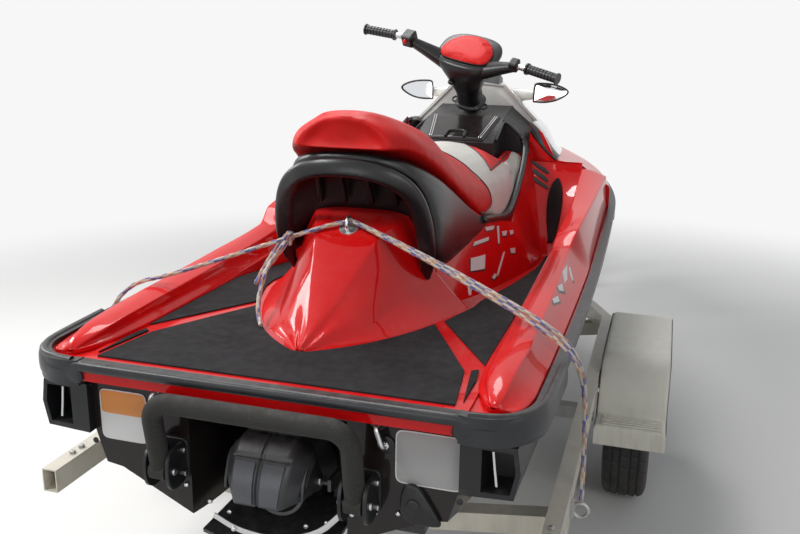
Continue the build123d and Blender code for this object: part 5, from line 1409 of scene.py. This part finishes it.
@dataclass
class Steering:
    """Neck and bar cover, red pad, levers and button, worked out along the leaning steering axis.

    Rows of the neck give height, rear, front and half width.
    """

    foot: tuple = (1934.0, 0.0, 896.0)
    tilt: float = -41.2
    turned: float = -17.7
    bar: tuple = ((2, 62, 186), (1, 92, 197), (-8, 165, 237), (-16, 226, 268))
    neck: tuple = ((0, -50, 50, 58), (7, -52, 52, 60), (13, -50, 50, 57), (20, -43, 44, 49), (60, -43, 47, 47),
                   (98, -48, 62, 58), (140, -53, 80, 76), (172, -55, 100, 98), (200, -52, 124, 118),
                   (214, -47, 135, 125), (222, -42, 136, 124), (226, -34, 130, 116))
    outline: tuple = ((-10, -112), (64, -108), (122, -50), (122, 50), (64, 108), (-10, 112), (-25, 60), (-25, -60))

    def place(self, points: object) -> Array:
        """Takes points of the steering to the craft frame.

        Args:
            points: Points (..., 3) in the steering's own millimetres.

        Returns:
            The points turned about the steering axis, then leaned back and moved to its foot.
        """
        lean, spin = math.radians(self.tilt), math.radians(self.turned)
        turn = np.array([[math.cos(spin), -math.sin(spin), 0], [math.sin(spin), math.cos(spin), 0], [0, 0, 1]])
        back = np.array([[math.cos(lean), 0, math.sin(lean)], [0, 1, 0], [-math.sin(lean), 0, math.cos(lean)]])
        return np.asarray(points, float) @ (back @ turn).T + np.array(self.foot)

    def knob(self, shape: Shape, foot: tuple, tip: tuple, *sizes: float) -> None:
        """Adds a disc that stands on foot and faces tip."""
        shape.bolt(self.place(foot), self.place(tip) - self.place(foot), *sizes)

    def cover(self) -> None:
        """Hourglass neck with a flange, widening to the bar cover and its two tapering wings."""
        table = np.array(self.neck, float)
        at = np.concatenate([np.linspace(0, 24, 12), np.linspace(28, 210, 40), np.linspace(212, 226, 10)])
        height, rear, front, half = through(table[:, 0], table, at).T[:, :, None]
        ring = oval(1.0, 1.0, 56, 2.7)
        rings = xyz((front + rear) / 2 + ring[:, 0] * (front - rear) / 2, ring[:, 1] * half, height)
        shape, details = Shape().solid(self.place(rings)), Shape()
        path = eased(self.bar, 2, 40)
        u = np.linspace(0, 1, 40)
        size = np.stack([30 - 13 * u, 40 - 24 * u ** 0.8], -1)
        turn = round_angles(36)
        for side in SIDES:
            wing = carried(path * [1, side, 1], oval(1, 1, 28, 2.4), (1.0, 0.0, 0.2), size)
            shape.solid(self.place(wing))
            line = xyz(-8 + 13 * np.cos(turn), side * (64 + 12 * np.sin(turn)), 5.0)
            details.grid(self.place(carried_ring(line, 4.2)), wrap_rows=True, wrap_columns=True)
        shape.piece("bar_cover", Finishes.SATIN, "steering", "steering_neck", sharp=50)
        details.panel(oval(16, 9, 28, 4.0), lambda p: self.place(facing_aft(-46)(p) + [0, 0, 84]), 0, 1.5)
        self.knob(details, (-52, 34, 150), (-62, 36, 140), 13, 12, 4)
        details.piece("cover_fittings", Finishes.MOULDED, "steering")

    def pad(self) -> None:
        """Red pad on top of the cover: rounded trapezoid, crowned, blown up as cloth, with a welt."""
        outline = cut_corners(self.outline, 3, closed=True)
        rings = nested(outline, [(0.90, 227.0), (0.955, 230), (0.97, 234.5), (0.93, 239.5), (0.8, 242.5), (0.5, 244),
                                 (0.1, 244.2)])
        pad = Shape().solid(self.place(rings)).piece("bar_pad", None, "steering", slot="pad_cover")
        swell(pad, Finishes.VINYL_RED, "handlebar_pad", 4.5, 4.0, 5.0)
        Shape().ring(laid_on(pad, self.place(rings[1]), 0.4), 1.8).piece("pad_welt", Finishes.MOULDED, "steering")

    def levers(self) -> None:
        """Throttle lever to starboard, a hose on each side and the start button."""
        shape, button = Shape(), Shape()
        lever = eased([(-8, -236, 262), (-2, -262, 252), (-8, -300, 252), (-20, -348, 258)], 2, 26)
        shape.solid(self.place(carried(lever, oval(4.0, 8.0, 14, 3))))
        for side in (-1, 1):
            route = [(-2, side * 206, 250), (26, side * 178, 226), (30, side * 140, 200), (10, side * 108, 190)]
            hose = eased(route, 3, 40)
            shape.solid(self.place(carried(hose,oval(1.0, 1.0, 10), FORE, np.full(40, 4.0))))
        shape.piece("bar_levers", Finishes.MOULDED, "steering")
        self.knob(button, (-40, 224, 282), (-50, 224, 286), 9, 6, 2)
        button.piece("start_button", Finishes.RED, "steering")

    def build(self) -> None:
        """Makes the whole steering head."""
        self.cover()
        self.pad()
        self.levers()


@dataclass
class Dashboard:
    """Glove-box lid with bright lines and latch, mirror rims and edging of the console."""

    rear: tuple = (1676.0, 773.0)
    front: tuple = (1872.0, 846.0)
    rear_half: float = 108.0
    front_half: float = 138.0
    length: float = 209.0
    thick: float = 9.0
    crown: float = 3.5
    latch: tuple = ((6, -36), (46, -34), (56, -22), (56, 22), (46, 34), (6, 36))
    mirror: tuple = ((-72, -37), (-72, 37), (-40, 39), (0, 36.5), (40, 27), (73, 8), (50, -14), (7, -34), (-40, -38))
    edge: tuple = ((1702, 151, 776), (1790, 151, 809), (1858, 150, 838), (1864, 200, 796), (1866, 242, 752),
                   (1872, 250, 700))

    def on_lid(self, u: Array, v: Array, w: object) -> Array:
        """Lid's own coordinates to the craft frame: u along the slope, v to port, w off its face."""
        c, s = unit(np.array(self.front) - self.rear)
        return xyz(self.rear[0] + u * c - w * s, v, self.rear[1] + u * s + w * c)

    def half(self, share: Array) -> Array:
        """Lid's half width by its share of length."""
        return self.rear_half + (self.front_half - self.rear_half) * share

    def lid(self) -> None:
        """Crowned glossy lid with a rolled edge and hinge barrel, its lines and its latch."""
        u, v = lattice((0, 1, 40), (-1, 1, 48))
        edge = np.minimum(1 - np.abs(v) ** 16, np.sin(np.clip(u, 0.0, 1.0) * math.pi) ** 0.12)
        top = 2.0 + (self.thick - 2 + self.crown * (1 - v**2)) * edge
        along, across = u * self.length, v * self.half(u)
        shape = Shape().slab(self.on_lid(along, across, top), self.on_lid(along, across, 0.4))
        shape.tube(xyz(self.front[0], np.linspace(-60, 60, 12), self.front[1]), 4.0, 16)
        shape.piece("lid_panel", Finishes.BLACK, "glove_lid", "glove_box_lid", sharp=50)
        bright = Shape()
        t = np.linspace(0.06, 0.95, 30)
        for offset in (12, 20):
            for side in SIDES:
                wide = self.half(t) - offset
                rise = self.thick + self.crown * (1 - (wide / (wide + offset)) ** 2) - 0.1
                bright.bar(self.on_lid(t * self.length, side * wide, rise), oval(1.7, 1.2, 10, 3))
        bright.piece("lid_lines", Finishes.CHROME, "glove_lid")
        u, v = cut_corners(self.latch, 3).T
        path = self.on_lid(u, v, self.thick + self.crown * (1 - (v / 112) ** 2) + 2)
        Shape().bar(spread(path, 70), oval(5, 5.5, 16, 3)).piece("lid_latch", Finishes.SATIN, "glove_lid")

    def mirrors(self) -> None:
        """Crowned glasses and the dark rim round each."""
        across, up = eased(self.mirror + self.mirror[:1], 2, 72)[:-1].T
        shares = np.array([1.0, 0.985, 0.8, 0.55, 0.3, 0.02])[:, None]
        rims, glass = Shape(), Shape()
        for side in SIDES:
            face = xyz(2151.5 + 0.06 * shares * up - 1.6 * (1 - shares**2), side * (288 + shares * across),
                       928 + shares * up)
            glass.solid(np.concatenate([(face + [2.0, 0, 0])[::-1], face]))
            rims.ring(xyz(2149.0, side * (288 + across), 928 + up), 3.4)
        glass.piece("mirror_panes", Finishes.GLASS, HOOD, "mirror_glasses")
        rims.piece("mirror_rims", Finishes.SATIN, HOOD)

    def build(self) -> None:
        """Makes lid, mirrors and the black edging between console, seat horns and cowl."""
        self.lid()
        self.mirrors()
        shape = Shape()
        for side in SIDES:
            shape.bar(eased(np.array(self.edge) * [1, side, 1], 3, 60), oval(6, 4.5, 14, 2.6), (-0.4, 0, 1.0))
        shape.piece("console_edging", Finishes.SATIN)


@dataclass
class Stern:
    """Blank plates, washers, step brackets and the rubber bar on the transom."""

    face: float = 58.6
    bracket: float = 225.0
    strap: tuple = ((57, -172, 158), (38, -126, 112), (34, -30, 83), (34, 60, 89), (40, 122, 112))
    gusset: tuple = ((-306, 172), (-392, 172), (-392, 186), (-346, 258), (-322, 262), (-306, 244))
    edge: tuple = ((20, 2), (20, 330), (20, 425), (27, 500), (46, 543), (84, 569), (132, 583), (326, 589))

    def plates(self) -> None:
        """Two blank plates: orange over white to port, bright with a thin border to starboard."""
        for name, box, low, high, finish in (
                ("plate_white", (290, 411, 246, 368), 0.0, 0.9, Finishes.PLATE_WHITE),
                ("plate_orange", (293, 408, 310, 365), 0.5, 1.3, Finishes.PLATE_ORANGE),
                ("plate_bright", (-436, -292, 256, 376), 0.0, 0.9, Finishes.PLATE_BRIGHT),
                ("plate_field", (-433, -295, 259, 373), 0.5, 1.2, Finishes.PLATE_GREY)):
            first, last = np.array(box, float).reshape(2, 2).T
            outline = (first + last) / 2 + oval(1, 1, 64, 9.0) * (last - first) / 2
            Shape().panel(outline, facing_aft(self.face), low, high, 0.6).piece(name, finish)

    def fittings(self) -> None:
        """Washers, bolts, rods, the strap under the nozzle and the gusset to starboard."""
        black, bright = Shape(), Shape()
        for side in SIDES:
            for y, z in ((272, 338), (256, 387)):
                black.bolt((self.face, side * y, z), AFT, 19, 4, 1)
                bright.bolt((self.face - 4, side * y, z), AFT, 9, 4, 1, 6)
            for y, z in ((92, 116), (140, 133), (198, 164), (250, 178), (300, 186)):
                bright.bolt((self.face, side * y, z), AFT, 5.5, 4, 2, 12)
            for y, z in ((430, 236), (436, 372)):
                black.bolt((self.face, side * y, z), AFT, 7, 3, 2, 12)
            rod = eased([(44, side * 505, 292), (44, side * 500, 330), (44, side * 496, 366)], 0, 8)
            bright.tube(rod, 3.2, 10, FORE)
        bright.bar(eased(self.strap, 2, 60), oval(1.6, 7.0, 12, 4.0))
        for y, z in ((-60, 91), (70, 92)):
            bright.bolt((33, y, z), AFT, 6, 4, 2, 6)
        black.panel(cut_corners(self.gusset, 2, closed=True), facing_aft(self.face), 0.0, 12.0, 5.0)
        black.bolt((self.face - 12, -334, 214), AFT, 15, 3, 1)
        black.piece("transom_fittings", Finishes.MOULDED, sharp=40)
        bright.piece("transom_bolts", Finishes.STAINLESS, sharp=40)

    def brackets(self) -> None:
        """Twin rounded plates each side with pivot pin, foot and bolts."""
        plates, bolts = Shape(), Shape()
        plate = nested(np.array([24.0, 227.0]) + oval(43, 49, 48, 2.7),
                       [(0.02, -4), (1.0, -4), (1.0, 3), (0.95, 4.6), (0.88, 5), (0.02, 5)])
        for side in SIDES:
            middle = side * self.bracket
            for sign in (-1.0, 1.0):
                y = middle + sign * 27.5
                plates.solid(xyz(plate[..., 0], y + sign * plate[..., 2], plate[..., 1]))
                for x, z, radius, count in ((2, 225, 8, 18), (44, 200, 6, 6), (44, 256, 6, 6)):
                    bolts.bolt((x, y + sign * 5, z), (0, sign, 0), radius, 4.5, 1.5, count)
            bolts.tube(eased([(2, middle - 31, 225), (2, middle + 31, 225)], 0, 6), 6.9, 16)
            plates.panel(oval(38, 50, 40, 6) + [middle, 227], facing_aft(self.face), -3.0, 4.5)
        plates.piece("bracket_plates", Finishes.MOULDED, stands_for="step_brackets", sharp=40)
        bolts.piece("bracket_bolts", Finishes.STAINLESS, sharp=40)

    def bar(self) -> None:
        """Rounded rubber bar along the stern and round both corners, deeper at the corners."""
        fine = cut_corners(self.edge, 2)
        line = spread(np.concatenate([fine[::-1] * [1, -1], fine]), 260)
        corner = np.clip((np.abs(line[:, 1]) - 428) / 10, 0, 1)
        path = xyz(line[:, 0], line[:, 1], sheer(line[:, 0]) + 7.0 - 14.0 * corner)
        size = np.stack([np.full(len(line), 13.0), 12.5 + 20.0 * corner], -1)
        Shape().bar(path, oval(1.0, 1.0, 28, 2.5), UP, size).piece("stern_bar", Finishes.RUBBER, sharp=50)

    def build(self) -> None:
        """Makes everything on the transom."""
        self.plates()
        self.fittings()
        self.brackets()
        self.bar()


@dataclass
class SideMarks:
    """Plain pale patches with dark borders, laid like film on pedestal, hump and bolsters; corners are (x, z). Each
    dark border is shifted aft and down, so that it shows wider there as a painted drop shadow.
    """

    flank: tuple = (
        ((879, 493), (911, 523), (1029, 508), (985, 475)), ((822, 462), (913, 454), (901, 445), (838, 449)),
        ((812, 441), (822, 462), (840, 449), (824, 438)), ((956, 549), (977, 557), (1111, 545), (1099, 536)),
        ((1107, 564), (1108, 575), (1203, 562), (1180, 554)), ((1178, 509), (1225, 556), (1250, 552), (1196, 508)),
        ((1255, 519), (1260, 532), (1321, 522), (1290, 512)), ((1345, 503), (1350, 517), (1396, 510), (1384, 500)),
        ((1281, 456), (1289, 470), (1347, 460), (1329, 446)), ((1062, 436), (1200, 476), (1222, 475), (1080, 432)),
        ((1019, 441), (1057, 444), (1060, 434), (1030, 432)))
    tail: tuple = (((640, 472), (690, 538), (712, 538), (656, 472)),)
    bolster: tuple = (
        ((1005, 534), (1038, 541), (1090, 538), (1055, 528)), ((829, 498), (878, 516), (962, 515), (869, 497)),
        ((1112, 548), (1130, 560), (1246, 572), (1232, 562)), ((742, 500), (756, 508), (806, 502), (774, 490)),
        ((900, 486), (958, 508), (974, 507), (914, 485)), ((640, 494), (652, 502), (706, 496), (690, 486)))
    # Width of the dark outline in mm; the same value sets the shift aft and down that paints the drop shadow.
    border_and_shadow: float = 5.0

    def film(self, shape: Shape, name: str, quads: tuple, outline_and_shadow: float, lift: float) -> None:
        """Adds both sides' patches.

        Args:
            shape: Shape that gathers them.
            name: Object they lie on.
            quads: Corners (x, z) of each patch.
            outline_and_shadow: How far each corner is moved outwards, in mm; the patch is also shifted aft and down by
                0.8 of it, which paints a drop shadow aft of and below each pale patch.
            lift: Height of the film over the surface.
        """
        tree = surface(bpy.data.objects[name])
        u, v = lattice((0, 1, 14), (0, 1, 9))
        rows, columns = u.shape
        u, v = u[..., None], v[..., None]
        for quad in np.array(quads, float):
            # Shifting the dark border aft and down widens it there as a painted drop shadow; on the other sides it is a
            # real outline.
            quad = quad - np.array([1.0, 0.6]) * outline_and_shadow * 0.8
            a, b, c, d = quad + unit(quad - quad.mean(axis=0)) * outline_and_shadow
            flat = (a * (1 - u) + d * u) * (1 - v) + (b * (1 - u) + c * u) * v
            for side in SIDES:
                starts = to_row(xyz(flat[..., 0], side * 800.0, flat[..., 1])).reshape(-1, 3)
                hits = [tree.ray_cast(Vector(p), Vector((0, -side, 0))) for p in starts]
                if any(hit[0] is None for hit in hits):
                    LOG.warning("a patch misses %s", name)
                    continue
                shape.slab(*(landed(hits, height).reshape(rows, columns, 3) for height in (lift, -0.6)))

    def build(self) -> None:
        """Lays the dark borders, each shifted aft and down as a painted drop shadow, first and the pale patches over
        them.
        """
        for name, outline_and_shadow, lift, finish in (("mark_borders", self.border_and_shadow, 0.5, Finishes.SATIN),
                                         ("mark_fields", 0.0, 0.9, Finishes.PLATE_WHITE)):
            shape = Shape()
            self.film(shape, "centre_pedestal", self.flank, outline_and_shadow, lift)
            self.film(shape, "boat_tail", self.tail, outline_and_shadow * 0.6, lift)
            self.film(shape, "side_bolsters", self.bolster, outline_and_shadow, lift)
            shape.piece(name, finish, slot="gelcoat_white", sharp=40)


@dataclass
class CowlLiner:
    """White wall that closes the cowl's rear opening above the console."""

    station: float = 2074.0
    middle: float = 800.0

    def build(self) -> None:
        """Finds the opening's inner edge from its middle and fills it with a panel."""
        tree = surface(bpy.data.objects["front_hood"])
        start = Vector(to_row((self.station, 0.0, self.middle)))
        hits = [tree.ray_cast(start, Vector((0, math.cos(a), math.sin(a)))) for a in np.linspace(0.0, math.pi, 90)]
        arch = landed([hit for hit in hits if hit[0] is not None], 0.0)[:, 1:]
        foot = [[arch[end, 0] * 0.5, self.middle] for end in (-1, 0)]
        outline = np.concatenate([arch * [0.996, 1.0] - [0.0, 0.8], foot])
        wall = Shape().panel(outline, facing_aft(self.station), -4.0, 2.0, 3.0)
        wall.piece("cowl_liner", Finishes.WHITE, HOOD, sharp=40)


@dataclass
class SeatBorder:
    """Black edging where the saddle meets the pedestal, up to the console."""

    path: tuple = ((1080, 246, 606), (1120, 249, 598), (1200, 252, 586), (1425, 256, 548), (1560, 255, 584),
                   (1665, 252, 632), (1760, 249, 686), (1826, 243, 722), (1862, 236, 750), (1868, 222, 776))

    def build(self) -> None:
        """Makes both sides as a flattened bar."""
        bar = Shape().bar(eased(self.path, 3, 120), oval(12.0, 11.0, 20, 2.6)).mirrored()
        bar.piece("seat_border", Finishes.SATIN)


@dataclass
class Gate:
    """Reverse bucket with sloped flanks, a seam down its middle, two plain tabs and its side plates."""

    pivot: tuple = (130.0, 185.0)
    radius: float = 124.0
    wall: float = 7.0
    side: float = 88.0

    def at(self, radius: Array, degrees: Array, y: Array) -> Array:
        """Point at a radius and an angle over the level line aft of the pivot."""
        angle = np.radians(degrees)
        return xyz(self.pivot[0] - radius * np.cos(angle), y, self.pivot[1] + radius * np.sin(angle))

    def surface(self, degrees: Array, t: Array, lift: float) -> Array:
        """Bucket's skin.

        Args:
            degrees: Angle over the level line, down the rows.
            t: Share of its half width, from -1 to 1.
            lift: Distance that it stands off.

        Returns:
            Points in the craft frame: an arc that falls at the seam and the flanks and at two ledges.
        """
        angles, widths = np.array([(-6.0, 84.0), (30.0, 98.0), (58.0, 102.0), (96.0, 78.0)]).T
        half = through(angles, widths, degrees[:, 0])[:, None]
        fall = np.interp(np.abs(t), [0.0, 0.02, 0.05, 0.60, 0.66, 1.0], [4.0, 4.0, 0.0, 0.0, 3.0, 44.0])
        ledge = 3.0 * np.exp(-((degrees - 44) / 2.2) ** 4) + 3.0 * np.exp(-((degrees - 74) / 2.0) ** 4)
        return self.at(self.radius - fall - ledge * (np.abs(t) < 0.66) + lift, degrees, half * t)

    def build(self) -> None:
        """Makes bucket, tabs, side plates and pivot bolts."""
        degrees = np.linspace(-6, 96, 90)[:, None]
        spans = ((-1, -0.62, 9), (-0.6, -0.06, 9), (-0.05, 0.05, 7), (0.06, 0.6, 9), (0.62, 1, 9))
        t = np.concatenate([np.linspace(*span) for span in spans])[None]
        shape, bolts, tabs = Shape(), Shape(), Shape()
        shape.sheet(self.surface(degrees, t, 0.0), self.surface(degrees, t, -self.wall))
        arcs = ((90.0, np.linspace(0, 72, 30)), (22.0, np.linspace(130, 320, 14)))
        outline = np.concatenate([self.at(radius, arc, 0.0)[:, ::2] for radius, arc in arcs])
        low = np.linspace(-3, 38, 24)[:, None]
        for side in SIDES:
            shape.panel(outline, lambda p, s=side: xyz(p[..., 0], s * (self.side + p[..., 2]), p[..., 1]), 0.0, 6.0)
            bolts.bolt((self.pivot[0], side * (self.side + 6), self.pivot[1]), (0, side, 0), 11, 5, 2, 6)
            high = np.linspace(0.10, 0.58, 12)[None] * side
            tabs.slab(self.surface(low, high, 4.0), self.surface(low, high, -1.0))
        shape.piece("gate_bucket", Finishes.BUCKET, "gate", "reverse_gate", sharp=35, merge=0.0001)
        tabs.piece("gate_tabs", Finishes.TABS, "gate", sharp=35)
        bolts.piece("gate_bolts", Finishes.STAINLESS, "gate", sharp=40)


@dataclass
class RunningGear:
    """Road tyres with tread, ribbed steps on the mudguards and bolts along the trailer rails."""

    centre: tuple = (1430.0, 720.0, -135.0)
    sheet: float = 5.0
    width: float = 212.0
    middle: float = 730.0
    foot: float = -58.0
    section: tuple = ((150, 50), (152, 60), (160, 66), (178, 71), (205, 75), (232, 73), (250, 67), (258, 60),
                      (263.0, 50), (264.6, 28), (265, 0))
    crown: tuple = ((1024, -58), (1024, -30), (1024, -2), (1027, 6), (1040, 8), (1104, 8), (1114, 14), (1168, 118),
                    (1186, 152), (1204, 168), (1232, 174), (1262, 175), (1628, 175), (1668, 173), (1700, 162),
                    (1718, 136), (1768, 20), (1776, 9), (1800, 8), (1822, 8), (1834, 6), (1836, -2), (1836, -30),
                    (1836, -58))
    across: tuple = ((0, -1), (0, 0.55), (0, 0.86), (6, 0.97), (22, 1), (60, 1), (106, 1.01))

    def tyre(self, side: int, name: str) -> None:
        """Tyre turned from its half section; grooves and staggered blocks are cut by their share of depth.

        Args:
            side: One to port, minus one to starboard.
            name: Its side's name.
        """
        def turned(r: Array, y: Array) -> Array:
            """Points at a radius round the axle and a distance from the wheel's middle."""
            middle = self.centre
            return xyz(middle[0] + r * np.cos(angle), side * middle[1] + y, middle[2] + r * np.sin(angle))

        fine = eased(self.section, 2, 60)
        profile = np.concatenate([fine, (fine * [1, -1])[::-1][1:]])
        angle = round_angles(420)[:, None]
        r, y = profile.T[:, None]
        out = np.abs(y)
        groove = np.maximum(np.exp(-((out - 17) / 3.0) ** 4), np.exp(-((out - 42) / 3.0) ** 4))
        phase = angle * 35 + np.where(out < 17, 0.0, np.where(out < 42, 1.6, 0.4)) + y * 0.04
        sipe = np.exp(-((np.sin(phase) / 0.32) ** 4)) * (np.cos(phase) > 0)
        r = r - 6.5 * np.maximum(groove, sipe * 0.85) / (1 + np.exp(-(r - 254) / 1.2))
        r = r + 1.2 * np.exp(-((r - 196) / 2.0) ** 2) + 0.8 * np.exp(-((r - 226) / 1.5) ** 2)
        bead = turned(np.full((1, 2), 150.0), np.array([[-50.0, 50.0]]))
        shape = Shape().grid(turned(r, y), wrap_rows=True).grid(bead, wrap_rows=True)
        shape.piece(f"road_tyre_{name}", Finishes.TYRE, f"wheel_{name}", f"tyre_{name}", merge=0.0002)

    def skin(self, side: int, inset: float) -> Array:
        """One skin of a mudguard.

        Args:
            side: One to port, minus one to starboard.
            inset: How far it stands inside the outer skin.

        Returns:
            Grid: the side view's line, its rounded edges dropped, down to the foot at both sides.
        """
        x, z = eased(self.crown, 2, 150).T[:, :, None]
        half = np.array(self.across)
        far = (half[::-1] * [-1, 1] + [self.width, 0])[1:]
        y, share = cut_corners(np.concatenate([half, far]), 2).T
        over = z - self.foot
        drop = np.where(share > 0.55, np.clip((1 - share) / 0.45, 0, 1) * 30, 0) * np.clip(over / 120, 0, 1)
        top = z - drop - inset * np.clip(over / 20, 0, 1)
        wall = np.clip((0.55 - share) / 1.55, 0, 1)
        y = self.middle + (y - self.width / 2) * (1 - 2 * inset / self.width)
        x = x + inset * np.clip((self.centre[0] - x) / 400, -1, 1)
        return xyz(x, side * y, top * (1 - wall) + self.foot * wall)

    def guards(self) -> None:
        """Thin mudguards with a foot and a sloped wall at each end, their ribs, and bolts on the rails."""
        shape, ribs, bolts = Shape(), Shape(), Shape()
        for side in SIDES:
            shape.sheet(self.skin(side, 0.0), self.skin(side, self.sheet))
            for x in range(1034, 1130, 16):
                ribs.bar(eased([(x, side * y, 9.5) for y in (640, 730, 822)], 0, 12), oval(3.4, 2.2, 10, 3))
            for x in (700, 1100, 1750):
                bolts.bolt((x, side * 620.6, 86), (0, side, 0), 9, 6, 2, 6)
            for x in (180, 215):
                bolts.bolt((x, side * 600, 115.5), (0, 0, 1), 8, 7, 2, 6)
        shape.piece("mudguards", Finishes.FENDER, stands_for="fenders", sharp=50, merge=0.0001)
        ribs.piece("guard_ribs", Finishes.FENDER)
        bolts.piece("rail_bolts", Finishes.GALVANISED, sharp=40)

    def build(self) -> None:
        """Makes both tyres and the fittings."""
        self.tyre(1, "left")
        self.tyre(-1, "right")
        self.guards()


def main() -> None:
    """Builds everything in order."""
    logging.basicConfig(level=logging.INFO, format="%(name)s: %(message)s")
    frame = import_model()
    Studio().build()
    dress_nodes(frame["nodes"])
    for assembly in (Hump, Bolsters, FootwellEnds, CowlBand, Shell, Cushion, Rope, Steering, Dashboard, SideMarks,
                     CowlLiner, SeatBorder, Stern, Gate, RunningGear):
        assembly().build()


if __name__ == "__main__":
    main()
